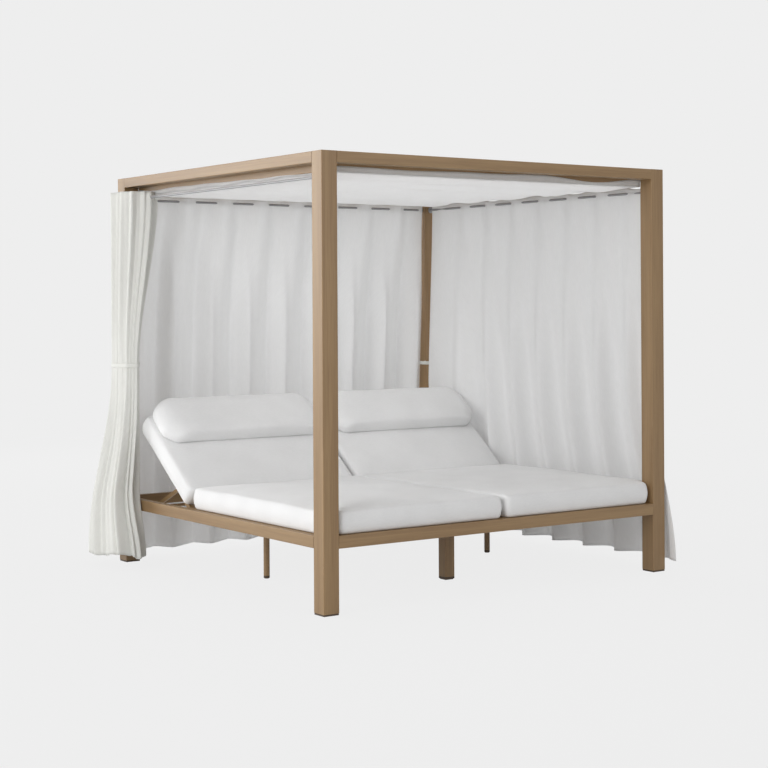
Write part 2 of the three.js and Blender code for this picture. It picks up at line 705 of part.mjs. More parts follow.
for (const side of sides) addPiece(daybed, `seat_deck_${side.name}`, deckGeometry(side.x), teakCoat);

// Closed pad on a flat base. Its long sides draw in between the corners, its rim is rounded and its top
// is crowned. The corners are given anticlockwise. A wedge share thins it towards its low end.
function padGeometry(cornerPoints, { thickness, crown, edge, rimSteps, wedge = 0 }) {
  const outline = [];
  cornerPoints.forEach((corner, i) => {
    const before = cornerPoints[(i + cornerPoints.length - 1) % cornerPoints.length];
    const after = cornerPoints[(i + 1) % cornerPoints.length];
    const run = corner.distanceTo(after);
    const start = corner.clone().lerp(before, Math.min(1 / 3, cushionCorner / corner.distanceTo(before)));
    const end = corner.clone().lerp(after, Math.min(1 / 3, cushionCorner / run));
    outline.push(start, start.clone().add(end).addScaledVector(corner, 2).divideScalar(4), end);
    if (run < drawInRun) return;
    const inward = new THREE.Vector2(corner.y - after.y, after.x - corner.x).divideScalar(run);
    for (const share of drawInShares) {
      const pull = cushionDrawIn * Math.sin(Math.PI * share);
      outline.push(corner.clone().lerp(after, share).addScaledVector(inward, pull));
    }
  });
  const middle = cornerPoints.reduce((sum, p) => sum.add(p), new THREE.Vector2()).divideScalar(cornerPoints.length);
  const low = Math.min(...cornerPoints.map((p) => p.y));
  const length = Math.max(...cornerPoints.map((p) => p.y)) - low;
  const ring = (inset, z, share = 1) => outline.map((point) => {
    const arm = point.clone().sub(middle);
    const place = arm.clone().multiplyScalar((1 - inset / arm.length()) * share).add(middle);
    const full = 1 - wedge * (1 - (place.y - low) / length);
    return new THREE.Vector3(place.x, place.y, z * full);
  });
  const rim = Array.from({ length: rimSteps + 1 }, (_, i) => {
    const angle = Math.PI * i / rimSteps / 2;
    return [edge * (1 - Math.sin(angle)), edge * (1 - Math.cos(angle))];
  });
  const rings = [
    ...rim.map(([inset, rise]) => ring(inset, rise)),
    ...[...rim].reverse().map(([inset, rise]) => ring(inset, thickness - rise)),
    ...crownShares.map((share) => ring(edge, thickness + crown * (1 - share ** 2), share)),
  ];
  const geometry = loftGeometry(rings);
  const top = geometry.attributes.position.count - 1;
  geometry.attributes.position.setZ(top, (thickness + crown) * (1 - wedge * (1 - (middle.y - low) / length)));
  return geometry;
}

const anticlockwise = (points, side) => {
  const placed = points.map(([x, y]) => new THREE.Vector2(side * x, y));
  return side < 0 ? placed.reverse() : placed;
};

// Seat cushions, notched round the front posts, resting on the decks
const cushionInner = cushionCentreGap / 2;
const cushionOuter = loungerOuter + cushionOverhang;
const cushionNotch = innerHalfWidth - postNotchGap;
for (const side of sides) {
  const front = seatFrontSetback - halfLength;
  const notchEnd = postNotchGap - innerHalfLength;
  const outline = [[cushionInner, front], [cushionNotch, front], [cushionNotch, notchEnd], [cushionOuter, notchEnd],
    [cushionOuter, seatEnd], [cushionInner, seatEnd]];
  const pad = padGeometry(anticlockwise(outline, side.x),
    { thickness: seatThickness, crown: cushionCrown, edge: cushionEdge, rimSteps: cushionRimSteps });
  addPiece(daybed, `seat_cushion_${side.name}`, pad, cushionCloth, 0, 0, railTop + fitGap);
}

// Prop linkage: how far the prop turns for each turn of the backrest, and where its foot is at an angle
const propRate = propPivot * Math.cos(radians(backAngle)) / (propLength * Math.cos(radians(propAngle)));
function propFoot(degrees) {
  const back = radians(degrees);
  const prop = radians(propAngle + propRate * (degrees - backAngle));
  return new THREE.Vector2(
    hingeY + propPivot * Math.cos(back) + propLength * Math.cos(prop),
    hingeZ + propPivot * Math.sin(back) - propLength * Math.sin(prop));
}

// Racks: bars on edge from the hinge rail to the head rail, notched where the prop's foot bar stands
function rackGeometry() {
  const reach = propBarDiameter / 2 + rackClearance;
  const start = hingeRailBack + fitGap;
  const finishY = halfLength - railDepth - fitGap;
  const tips = rackTipAngles.map((degrees) => {
    const here = propFoot(degrees);
    const along = propFoot(degrees - 1).sub(here).normalize();
    return new THREE.Vector2(here.x + along.y * reach, here.y - along.x * reach);
  });
  const last = tips[tips.length - 1];
  const points = [new THREE.Vector2(start, rackBottom), new THREE.Vector2(finishY, rackBottom),
    new THREE.Vector2(finishY, rackTabTop), new THREE.Vector2(finishY - rackTabRun, rackTabTop),
    new THREE.Vector2(finishY - rackTabRun, rackTop), new THREE.Vector2(last.x, rackTop), last];
  for (let i = tips.length - 2; i >= 0; i -= 1) {
    const valley = tips[i].clone().add(tips[i + 1]).divideScalar(2);
    points.push(valley.setY(valley.y - rackNotchDepth), tips[i]);
  }
  points.push(new THREE.Vector2(tips[0].x, rackTop), new THREE.Vector2(start + rackTabRun, rackTop),
    new THREE.Vector2(start + rackTabRun, rackTabTop), new THREE.Vector2(start, rackTabTop));
  const rack = new THREE.ExtrudeGeometry(new THREE.Shape(points), { depth: rackThickness, bevelEnabled: false });
  return rack.translate(0, 0, -rackThickness / 2).applyMatrix4(layAlongX);
}
for (const side of sides) {
  addPiece(daybed, `prop_rack_${side.name}`, rackGeometry(), teakCoat, side.x * loungerMiddle, 0, 0);
}

// Backrest frame in its own place: the hinge axis is X through the origin, and Y runs up the back
const barNear = loungerInner + barInset;
const barFar = loungerOuter - barInset;
function backFrameGeometry(side) {
  const half = barHeight / 2;
  const bar = (x0, x1, y0, y1, z0, z1) => boxBetween([side * x0, y0, z0], [side * x1, y1, z1]);
  const near = barNear + barWidth / 2;
  const far = barFar - barWidth / 2;
  const bars = [
    bar(barNear, barNear + barWidth, -half, backFrameLength, -half, half),
    bar(barFar - barWidth, barFar, -half, backFrameLength, -half, half),
    bar(near, far, barHeight, 2 * barHeight, -half, half),
    bar(near, far, backFrameLength - 2 * barHeight, backFrameLength - barHeight, -half, half),
  ];
  const open = backFrameLength - 4 * barHeight - backSlatCount * backSlatWidth;
  const step = open / (backSlatCount + 1) + backSlatWidth;
  for (let i = 0; i < backSlatCount; i += 1) {
    const y = 2 * barHeight + step * (i + 1) - backSlatWidth;
    bars.push(bar(near, far, y, y + backSlatWidth, half - weldDepth, half + backSlatThickness));
  }
  const reach = hingeEarClearance + hingeEarThickness + hingeEarClearance;
  bars.push(barAlongX(hingePinDiameter / 2, side * (barNear - reach), side * (barNear + barWidth / 2), 0, 0));
  bars.push(barAlongX(hingePinDiameter / 2, side * (barFar - barWidth / 2), side * (barFar + reach), 0, 0));
  const bore = barAlongX(hingePinDiameter / 2 + fitGap, 0, side * halfWidth, propPivot, 0);
  return toGeometry(joined(bars).subtract(toSolid(bore)));
}

// Prop in its own place: pivot axis X through the origin, arms along +Y to the foot bar
function propGeometry(side) {
  const near = barNear + barWidth + propArmGap;
  const far = barFar - barWidth - propArmGap;
  const half = propArmHeight / 2;
  const pin = hingePinDiameter / 2;
  const arms = [[near, near + propArmWidth], [far - propArmWidth, far]].flatMap(([x0, x1]) => [
    boxBetween([side * x0, 0, -half], [side * x1, propLength, half]),
    barAlongX(half, side * x0, side * x1, 0, 0),
  ]);
  const pins = [
    barAlongX(pin, side * (near - propArmGap - barWidth / 2), side * (near + propArmWidth / 2), 0, 0),
    barAlongX(pin, side * (far - propArmWidth / 2), side * (far + propArmGap + barWidth / 2), 0, 0),
  ];
  const foot = barAlongX(propBarDiameter / 2, side * (near + propArmWidth / 2), side * (far - propArmWidth / 2),
    propLength, 0);
  return toGeometry(joined([...arms, ...pins, foot]));
}

// Backrests, raised to their angle: frame, cushion, pillow and the prop that holds them up
for (const side of sides) {
  const backrest = new THREE.Group();
  backrest.position.set(0, hingeY, hingeZ);
  backrest.rotation.x = radians(backAngle);
  daybed.add(backrest);
  addPiece(backrest, `back_frame_${side.name}`, backFrameGeometry(side.x), teakCoat);

  const rest = barHeight / 2 + backSlatThickness + fitGap;
  const backOuter = loungerOuter + backCushionOverhang;
  const outline = [[cushionInner, 0], [backOuter, 0], [backOuter, backCushionLength],
    [cushionInner, backCushionLength]];
  const pad = padGeometry(anticlockwise(outline, side.x),
    { thickness: backThickness, crown: backCrown, edge: cushionEdge, rimSteps: cushionRimSteps });
  addPiece(backrest, `back_cushion_${side.name}`, pad, cushionCloth, 0, 0, rest);

  const x0 = (cushionInner + cushionOuter - pillowWidth) / 2;
  const x1 = x0 + pillowWidth;
  const pillowEnd = pillowStart + pillowLength;
  const pillowOutline = [[x0, pillowStart], [x1, pillowStart], [x1, pillowEnd - pillowCorner],
    [x1 - pillowCorner, pillowEnd], [x0 + pillowCorner, pillowEnd], [x0, pillowEnd - pillowCorner]];
  const pillow = padGeometry(anticlockwise(pillowOutline, side.x), {
    thickness: pillowThickness, crown: pillowCrown, edge: pillowEdge, rimSteps: pillowRimSteps, wedge: pillowWedgeShare,
  });
  addPiece(backrest, `pillow_${side.name}`, pillow, cushionCloth, 0, 0, rest + backThickness + backCrown + fitGap);

  const prop = new THREE.Group();
  prop.position.set(0, propPivot, 0);
  prop.rotation.x = -radians(backAngle + propAngle);
  backrest.add(prop);
  addPiece(prop, `prop_${side.name}`, propGeometry(side.x), teakCoat);
}

export default daybed;
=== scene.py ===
import math

import bpy
import numpy as np
from bpy.props import FloatProperty, FloatVectorProperty, IntProperty, PointerProperty
from mathutils import Matrix, Vector


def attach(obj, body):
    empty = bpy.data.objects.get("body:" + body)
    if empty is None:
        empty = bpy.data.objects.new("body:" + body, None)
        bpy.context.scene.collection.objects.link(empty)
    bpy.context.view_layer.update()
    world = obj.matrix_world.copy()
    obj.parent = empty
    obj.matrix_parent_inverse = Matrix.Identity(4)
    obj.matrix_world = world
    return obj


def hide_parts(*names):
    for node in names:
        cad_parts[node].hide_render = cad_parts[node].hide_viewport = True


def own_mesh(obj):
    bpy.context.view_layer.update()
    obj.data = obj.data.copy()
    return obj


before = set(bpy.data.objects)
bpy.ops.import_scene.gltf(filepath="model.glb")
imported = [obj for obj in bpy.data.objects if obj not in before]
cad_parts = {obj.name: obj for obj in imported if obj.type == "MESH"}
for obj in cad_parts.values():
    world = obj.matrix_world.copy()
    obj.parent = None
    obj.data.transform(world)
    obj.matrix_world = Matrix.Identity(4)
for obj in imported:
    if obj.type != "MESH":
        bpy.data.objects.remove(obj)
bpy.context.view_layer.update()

bl_info = {
    "name": "Canopy Daybed Looks",
    "version": (1, 0, 0),
    "blender": (4, 5, 0),
    "location": "3D View > Sidebar > Daybed",
    "description": "Fabric pieces, finishes and a studio stage for a canopy daybed",
    "category": "Object",
}

TAU = 2 * math.pi
SIDES = {"left": -1, "right": 1}
BACKDROP = (238, 238, 238)

# The back posts' faces, from the middle, and the gap that cloth keeps from them
POST_INNER, POST_OUTER, POST_FRONT, POST_BACK = 0.935, 1.015, 0.900, 0.980
POST_GAP = 0.003

# Heights between which the curtains spread, and the least Y of the head curtain behind its rail
SEAT_FOLD, RAIL_TOP, RAIL_CLEAR = 0.9, 0.34, 0.986

# Lower edges of the drawn curtains, then the ties' bands and the right tie's height
HEAD_LOW, RIGHT_LOW = 0.040, 0.052
TIE_BAND, RIGHT_TIE_BAND, RIGHT_TIE_HEIGHT = 0.021, 0.020, 0.990

# Rounding of a pillow's corners, and the air below a pillow
PILLOW_ROUND, PILLOW_GAP = 0.030, 0.006

# Share of light that shines through a drawn curtain, and the cloths' darkest and lightest colours
DRAWN_LIGHT = 0.34
# The cream pair is the curtain cloth made darker and a little creamy for the gathered curtain and ties: the
# darkening is painted shade that tones down their brighter light
CREAM_WITH_PAINTED_SHADE = ((230, 230, 225), (238, 238, 233))
WHITE = ((239, 239, 239), (247, 247, 247))


# Node materials

class Value:
    """A node socket with arithmetic, so that node maths reads as a formula."""

    def __init__(self, tree, socket):
        self.tree = tree
        self.socket = socket

    def _math(self, operation, *others):
        node = self.tree.nodes.new("ShaderNodeMath")
        node.operation = operation
        for slot, value in zip(node.inputs, others):
            if isinstance(value, Value):
                self.tree.links.new(value.socket, slot)
            else:
                slot.default_value = value
        return Value(self.tree, node.outputs[0])

    def __add__(self, other):
        return self._math("ADD", self, other)

    def __radd__(self, other):
        return self._math("ADD", other, self)

    def __sub__(self, other):
        return self._math("SUBTRACT", self, other)

    def __rsub__(self, other):
        return self._math("SUBTRACT", other, self)

    def __mul__(self, other):
        return self._math("MULTIPLY", self, other)

    def __rmul__(self, other):
        return self._math("MULTIPLY", other, self)

    def sine(self):
        return self._math("SINE", self)

    def absolute(self):
        return self._math("ABSOLUTE", self)

    def maximum(self, other):
        return self._math("MAXIMUM", self, other)

    def smooth(self, low, high):
        """0 below low, 1 above high, and a smooth ramp between them."""
        node = self.tree.nodes.new("ShaderNodeMapRange")
        node.interpolation_type = "SMOOTHSTEP"
        node.inputs["From Min"].default_value = low
        node.inputs["From Max"].default_value = high
        self.tree.links.new(self.socket, node.inputs["Value"])
        return Value(self.tree, node.outputs["Result"])


def mix_shaders(tree, share, first, second, surface):
    """Sends a mix of two shaders to a surface, by a constant share or a socket."""
    mix = tree.nodes.new("ShaderNodeMixShader")
    if isinstance(share, Value):
        tree.links.new(share.socket, mix.inputs["Fac"])
    else:
        mix.inputs["Fac"].default_value = share
    tree.links.new(first.outputs[0], mix.inputs[1])
    tree.links.new(second.outputs[0], mix.inputs[2])
    tree.links.new(mix.outputs[0], surface)


class Finish:
    """A material on one Principled shader, with coordinates, noise, colour mixing and bump."""

    def __init__(self, name, **constants):
        self.material = bpy.data.materials.new(name)
        self.material.use_nodes = True
        self.tree = self.material.node_tree
        self.shader = self.tree.nodes["Principled BSDF"]
        self.output = self.tree.nodes["Material Output"]
        for key, value in constants.items():
            self.shader.inputs[key.replace("_", " ")].default_value = value

    def place(self, uv=False):
        """The three coordinates of a point: the object's own, or those of its UV map, in metres."""
        coordinates = self.tree.nodes.new("ShaderNodeTexCoord")
        split = self.tree.nodes.new("ShaderNodeSeparateXYZ")
        self.tree.links.new(coordinates.outputs["UV" if uv else "Object"], split.inputs[0])
        return [Value(self.tree, split.outputs[i]) for i in range(3)]

    def noise(self, place, scales, detail=3.0, roughness=0.5):
        """Noise from 0 to 1 over coordinates that are first stretched by their scales."""
        join = self.tree.nodes.new("ShaderNodeCombineXYZ")
        for slot, value, scale in zip(join.inputs, place, scales):
            self.tree.links.new((value * scale).socket, slot)
        node = self.tree.nodes.new("ShaderNodeTexNoise")
        node.inputs["Scale"].default_value = 1.0
        node.inputs["Detail"].default_value = detail
        node.inputs["Roughness"].default_value = roughness
        self.tree.links.new(join.outputs[0], node.inputs["Vector"])
        return Value(self.tree, node.outputs["Fac"])

    def colour(self, amount, first, second):
        """Sets the base colour to a blend of two colours by an amount from 0 to 1."""
        node = self.tree.nodes.new("ShaderNodeMix")
        node.data_type = "RGBA"
        node.inputs["A"].default_value = (*first, 1.0)
        node.inputs["B"].default_value = (*second, 1.0)
        self.tree.links.new(amount.socket, node.inputs["Factor"])
        self.tree.links.new(node.outputs["Result"], self.shader.inputs["Base Color"])

    def roughness(self, value):
        self.tree.links.new(value.socket, self.shader.inputs["Roughness"])

    def bump(self, height, distance, strength=1.0):
        """Bumps by a height from 0 to 1 times a distance in metres, and gives the normal."""
        node = self.tree.nodes.new("ShaderNodeBump")
        node.inputs["Distance"].default_value = distance
        node.inputs["Strength"].default_value = strength
        self.tree.links.new(height.socket, node.inputs["Height"])
        self.tree.links.new(node.outputs["Normal"], self.shader.inputs["Normal"])
        return node.outputs["Normal"]

    def let_light_through(self, share, tint, normal):
        """Mixes in light that shines through thin cloth, by a constant share."""
        through = self.tree.nodes.new("ShaderNodeBsdfTranslucent")
        through.inputs["Color"].default_value = (*tint, 1.0)
        self.tree.links.new(normal, through.inputs["Normal"])
        mix_shaders(self.tree, share, self.shader, through, self.output.inputs["Surface"])


def linear(red, green, blue):
    """A colour given in display values from 0 to 255, as linear light."""
    shares = np.array([red, green, blue]) / 255
    return tuple(np.where(shares < 0.04045, shares / 12.92, ((shares + 0.055) / 1.055) ** 2.4))


def wood_tone(name, along):
    """Powder coat printed with a fine grain that runs along one axis of the object."""
    finish = Finish(name, Roughness=0.42, Specular_IOR_Level=0.5, Coat_Weight=0.15, Coat_Roughness=0.35)
    place = finish.place()
    across = [180.0, 180.0, 180.0]
    across[along] = 5.0
    coarse = [26.0, 26.0, 26.0]
    coarse[along] = 0.9
    fine = finish.noise(place, across, 4.0, 0.6)
    broad = finish.noise(place, coarse, 3.0)
    grain = fine * 0.45 + broad * 0.55
    finish.colour(grain.smooth(0.34, 0.68), linear(135, 106, 71), linear(155, 126, 88))
    finish.roughness(0.42 + fine * 0.14)
    finish.bump(fine.smooth(0.3, 0.7), 0.00012, 0.5)
    return finish.material


def brushed_metal(name):
    """Satin steel with fine brush lines."""
    finish = Finish(name, Metallic=0.35)
    place = finish.place()
    lines = finish.noise(place, [40.0, 40.0, 900.0], 2.0)
    finish.colour(lines, linear(146, 146, 148), linear(172, 172, 174))
    finish.roughness(0.5 + lines * 0.16)
    return finish.material


def dark_plastic(name):
    """Dark moulded plastic with a pebbled surface."""
    finish = Finish(name)
    place = finish.place()
    pebble = finish.noise(place, [900.0] * 3, 2.0)
    finish.colour(pebble, linear(66, 52, 39), linear(84, 67, 50))
    finish.roughness(0.5 + pebble * 0.2)
    finish.bump(pebble, 0.0001)
    return finish.material


def upholstery(name):
    """Off-white woven outdoor cloth: plain weave in metres, faint slubs and broad soft unevenness."""
    finish = Finish(name, Sheen_Weight=0.25, Sheen_Roughness=0.5, Specular_IOR_Level=0.25)
    x, y, z = finish.place()
    pitch = TAU / 0.0016
    warp = (x * pitch).sine() * ((y + z) * pitch).sine()
    slub = finish.noise([x, y, z], [60.0, 420.0, 420.0], 3.0)
    broad = finish.noise([x, y, z], [5.0] * 3, 2.0)
    tone = slub * 0.5 + broad * 0.5
    finish.colour(tone.smooth(0.3, 0.7), linear(235, 235, 235), linear(243, 243, 243))
    finish.roughness(0.78 + slub * 0.16)
    finish.bump(warp * 0.25 + slub * 0.35 + broad * 0.2, 0.0006, 0.5)
    return finish.material


def curtain_cloth(name, hem, share, tones=WHITE):
    """Thin woven curtain cloth with light shining through and a sewn line above its hem.

    UV holds the distance along the cloth and the height above its lower edge, in metres.
    """
    finish = Finish(name, Sheen_Weight=0.2, Specular_IOR_Level=0.15)
    along, up, _ = finish.place(uv=True)
    pitch = TAU / 0.0014
    weave = (along * pitch).sine() * (up * pitch).sine()
    slub = finish.noise([along, up, up], [500.0, 26.0, 1.0], 3.0)
    stitch = 1.0 - ((up - hem).absolute()).smooth(0.0008, 0.003)
    dashes = (along * (TAU / 0.006)).sine().smooth(-0.4, 0.3)
    finish.colour(slub.smooth(0.25, 0.75), linear(*tones[0]), linear(*tones[1]))
    finish.roughness(0.85 + slub * 0.1)
    normal = finish.bump(weave * 0.2 + slub * 0.3 - stitch * dashes * 0.9, 0.0008, 0.6)
    finish.let_light_through(share, linear(245, 245, 245), normal)
    return finish.material


def seen_plainly(tree):
    """1 for rays from the camera, in a reflection or through glass, 0 for the others."""
    paths = tree.nodes.new("ShaderNodeLightPath")
    seen = Value(tree, paths.outputs["Is Camera Ray"])
    seen = seen.maximum(Value(tree, paths.outputs["Is Glossy Ray"]))
    return seen.maximum(Value(tree, paths.outputs["Is Transmission Ray"]))


def floor_finish(name, reach):
    """The floor as the camera sees it: a plain pale field that keeps a soft shadow near the object."""
    shadow_share = 0.04
    material = bpy.data.materials.new(name)
    material.use_nodes = True
    tree = material.node_tree
    tree.nodes.clear()
    make = tree.nodes.new
    pale = (*linear(*BACKDROP), 1.0)
    output = make("ShaderNodeOutputMaterial")
    plain = make("ShaderNodeEmission")
    plain.inputs["Color"].default_value = pale
    plain.inputs["Strength"].default_value = 1.0
    lit = make("ShaderNodeBsdfDiffuse")
    lit.inputs["Color"].default_value = pale
    coordinates = make("ShaderNodeTexCoord")
    length = make("ShaderNodeVectorMath")
    length.operation = "LENGTH"
    tree.links.new(coordinates.outputs["Object"], length.inputs[0])
    fade = Value(tree, length.outputs["Value"]).smooth(reach * 0.45, reach)
    share = seen_plainly(tree) * ((1 - shadow_share) + fade * shadow_share)
    mix_shaders(tree, share, lit, plain, output.inputs["Surface"])
    return material


# Meshes from arrays

def grid_quads(rows, columns, wrap=False):
    """Quads of a grid of points in row order. With wrap, the last column meets the first."""
    index = np.arange(rows * columns).reshape(rows, columns)
    if wrap:
        index = np.column_stack([index, index[:, 0]])
    a, b = index[:-1, :-1], index[:-1, 1:]
    c, d = index[1:, 1:], index[1:, :-1]
    return np.stack([a, b, c, d], axis=-1).reshape(-1, 4)


def mesh_object(name, points, faces, material, uv=None):
    """A smooth mesh object at the origin, from points and lists of faces."""
    mesh = bpy.data.meshes.new(name)
    mesh.from_pydata(np.asarray(points).reshape(-1, 3).tolist(), [], [list(map(int, f)) for f in faces])
    mesh.validate()
    mesh.polygons.foreach_set("use_smooth", np.ones(len(mesh.polygons), dtype=bool))
    if uv is not None:
        layer = mesh.uv_layers.new(name="cloth")
        corners = np.empty(len(mesh.loops), dtype=np.int32)
        mesh.loops.foreach_get("vertex_index", corners)
        layer.data.foreach_set("uv", np.asarray(uv).reshape(-1, 2)[corners].ravel())
    mesh.materials.append(material)
    thing = bpy.data.objects.new(name, mesh)
    bpy.context.scene.collection.objects.link(thing)
    return thing


def solidify(thing, thickness):
    """Gives a sheet its thickness, half to each side."""
    modifier = thing.modifiers.new("Thickness", "SOLIDIFY")
    modifier.thickness = thickness
    modifier.offset = 0.0
    modifier.use_even_offset = False


def smoothstep(value):
    """3 t squared minus 2 t cubed, with t held between 0 and 1."""
    t = np.clip(value, 0, 1)
    return t * t * (3 - 2 * t)


def waves(*coordinates, seed, count=5, low=1.0, high=3.0):
    """Smooth deterministic unevenness from about -1 to 1: a sum of sines at random directions."""
    random = np.random.default_rng(seed)
    total = 0.0
    for _ in range(count):
        phase = random.uniform(0, TAU)
        for coordinate in coordinates:
            phase = phase + coordinate * random.uniform(low, high) * random.choice([-1, 1])
        total = total + np.sin(phase)
    return total / math.sqrt(count)


def outline(corners, inset, radius, per_edge, per_corner=5):
    """Rounded outline of a polygon, each edge moved in by an inset.

    Corners are anticlockwise. A corner moves along the sum of the two edges' normals, over one plus the
    cosine of its turn. It is then a quadratic curve between two points a radius from it.
    """
    corners = np.asarray(corners, dtype=float)
    into = corners - np.roll(corners, 1, axis=0)
    into /= np.linalg.norm(into, axis=1)[:, None]
    out = np.roll(into, -1, axis=0)
    turn = into[:, 0] * out[:, 1] - into[:, 1] * out[:, 0]
    both = np.stack([-into[:, 1] - out[:, 1], into[:, 0] + out[:, 0]], axis=1)
    moved = corners + both * (inset / (1 + (into * out).sum(axis=1)))[:, None]
    bend = np.maximum(radius - inset * np.sign(turn), 0.002)[:, None]
    start, end = moved - into * bend, moved + out * bend
    t = np.linspace(0, 1, per_corner)[None, :, None]
    curve = (1 - t) ** 2 * start[:, None] + 2 * t * (1 - t) * moved[:, None] + t ** 2 * end[:, None]
    s = np.linspace(0, 1, per_edge + 2)[None, 1:-1, None]
    edge = end[:, None] + (np.roll(start, -1, axis=0) - end)[:, None] * s
    return np.concatenate([curve, edge], axis=1).reshape(-1, 2)


def cushion(name, corners, thickness, crown, edge, material, wedge=0.0, radius=0.03,
            bulge=0.006, seam=0.0012, seed=1, rim=7, per_edge=24, ends=1.0):
    """A closed box cushion on a flat base, made of rings round its outline.

    The sides bulge by a sine over the height. The rim is a quarter circle. The top is a crown that falls
    off as one minus the fourth power of the distance from the middle, across and along. A seam is a small
    groove at the top and bottom of the side. A wedge share thins the low end. Where ends is over 1, the
    upper rim of the ends across is rounded over that many times the edge.
    """
    corners = np.asarray(corners, dtype=float)
    low, high = corners.min(0), corners.max(0)
    middle = (low + high) / 2
    half = (high - low) / 2
    angles = np.linspace(0, math.pi / 2, rim)
    insets, heights = [], []
    for angle in angles:
        insets.append(edge * (1 - math.sin(angle)))
        heights.append(edge * (1 - math.cos(angle)))
    levels = np.linspace(edge, thickness - edge, 7)[1:-1]
    for level in levels:
        insets.append(-bulge * math.sin(math.pi * (level - edge) / (thickness - 2 * edge)))
        heights.append(level)
    for angle in angles[::-1]:
        insets.append(edge * (1 - math.sin(angle)))
        heights.append(thickness - edge * (1 - math.cos(angle)))
    groove = rim - 2
    insets[groove] += seam
    insets[-1 - groove] += seam
    rings = []
    for inset, height in zip(insets, heights):
        ring = outline(corners, inset, radius, per_edge)
        over = min(max(height / thickness - 0.4, 0.0) / 0.6, 1.0)
        squeeze = 1 - (1 - math.sqrt(1 - over * over)) * (ends - 1) * edge / half[0]
        rings.append(np.column_stack([(ring[:, 0] - middle[0]) * squeeze + middle[0], ring[:, 1]]))
    heights = [np.full(len(rings[0]), height) for height in heights]
    upper = rings[-1]
    for share in np.linspace(1, 0, 22)[1:-1]:
        rings.append((upper - middle) * share + middle)
        heights.append(np.full(len(rings[0]), thickness))
    rings = [(rings[0] - middle) * share + middle for share in (0.35, 0.7)] + rings
    heights = [np.zeros(len(rings[0]))] * 2 + heights
    plan = np.stack(rings)
    rise = np.stack(heights)
    away = np.abs((plan - middle) / half)
    hump = np.clip(1 - away[..., 0] ** 4, 0, 1) * np.clip(1 - away[..., 1] ** 4, 0, 1)
    share = rise / thickness
    rise = rise + crown * hump * smoothstep((share - 0.6) / 0.4)
    soft = waves(plan[..., 0], plan[..., 1], seed=seed, low=6.0, high=15.0)
    rise = rise + 0.0016 * soft * smoothstep((share - 0.7) / 0.3) * smoothstep(hump * 6)
    pucker = waves(plan[..., 0] + plan[..., 1], seed=seed + 7, low=120.0, high=210.0)
    near = np.exp(-((share - 0.86) / 0.1) ** 2)
    plan = plan + (plan - middle) * (0.0012 * pucker * near)[..., None]
    rise = rise * (1 - wedge * (high[1] - plan[..., 1]) / (high[1] - low[1]))
    points = np.concatenate([plan, rise[..., None]], axis=-1)
    rows, columns = points.shape[:2]
    faces = list(grid_quads(rows, columns, wrap=True))
    poles = np.array([points[0].mean(0), points[-1].mean(0)])
    first, last = rows * columns, rows * columns + 1
    ring = np.arange(columns)
    following = np.roll(ring, -1)
    faces += [(first, b, a) for a, b in zip(ring, following)]
    top = (rows - 1) * columns
    faces += [(last, top + a, top + b) for a, b in zip(ring, following)]
    return mesh_object(name, np.concatenate([points.reshape(-1, 3), poles]), faces, material)


def points_of(mesh):
    """All points of a mesh, one to a row."""
    flat = np.empty(len(mesh.vertices) * 3)
    mesh.vertices.foreach_get("co", flat)
    return flat.reshape(-1, 3)


def swell(pad, cap, voxel=0.012, pressure=4.0, frames=20):
    """Swells a closed pad as stuffed cloth does, by a simulation that is applied to its mesh.

    The pad is remeshed evenly and blown up. Each point moves by its simulated step, held to a cap, and
    never below the pad's flat base.
    """
    scene = bpy.context.scene
    bpy.context.view_layer.objects.active = pad
    pad.data.remesh_voxel_size = voxel
    bpy.ops.object.voxel_remesh()
    start = points_of(pad.data)
    cloth = pad.modifiers.new("Swell", "CLOTH")
    cloth.settings.use_pressure = True
    cloth.settings.uniform_pressure_force = pressure
    cloth.settings.effector_weights.gravity = 0.0
    cloth.point_cache.frame_start = 1
    cloth.point_cache.frame_end = frames
    for number in range(1, frames + 1):
        scene.frame_set(number)
    swollen = pad.evaluated_get(bpy.context.evaluated_depsgraph_get())
    step = points_of(swollen.data) - start
    length = np.linalg.norm(step, axis=1)
    points = start + step * np.minimum(1, cap / np.maximum(length, 1e-9))[:, None]
    points[:, 2] = np.maximum(points[:, 2], start[:, 2].min())
    pad.modifiers.remove(cloth)
    pad.data.vertices.foreach_set("co", points.ravel())
    pad.data.polygons.foreach_set("use_smooth", np.ones(len(pad.data.polygons), dtype=bool))
    pad.data.update()
    scene.frame_set(1)


def finish_pad(pad, swelling, matrix, body, node):
    """Puts a pad in its place and says what it rides on and stands for.

    Its cloth is swollen and then subdivided once.
    """
    swell(pad, swelling)
    modifier = pad.modifiers.new("Rounding", "SUBSURF")
    modifier.levels = 1
    modifier.render_levels = 1
    pad.data.transform(matrix)
    pad.data.update()
    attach(pad, body)
    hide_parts(node)


def mirrored(corners, side):
    """A left piece's outline from a right one's, still anticlockwise."""
    placed = [(side * x, y) for x, y in corners]
    return placed if side > 0 else placed[::-1]


def arc_lengths(points):
    """Distance along each row of points, from its first point."""
    steps = np.linalg.norm(np.diff(points, axis=1), axis=2)
    return np.concatenate([np.zeros((len(points), 1)), np.cumsum(steps, axis=1)], axis=1)


def curtain_sheet(name, points, material, thickness):
    """A curtain from a grid of points, its rows running up from the lower edge."""
    up = points[:, :, 2] - points[:1, :, 2]
    uv = np.stack([arc_lengths(points), up], axis=-1)
    thing = mesh_object(name, points, grid_quads(*points.shape[:2]), material, uv)
    solidify(thing, thickness)
    return thing


def declare_cloth(thing, node):
    """Says what a cloth stands for, and puts it on the base."""
    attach(thing, "base")
    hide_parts(node)


# Settings

def metres(name, description, default, low=0.0, high=3.0):
    return FloatProperty(name=name, description=description, default=default, min=low, max=high,
                         unit="LENGTH")


def watts(name, description, default):
    return FloatProperty(name=name, description=description, default=default, min=0.0, unit="POWER")


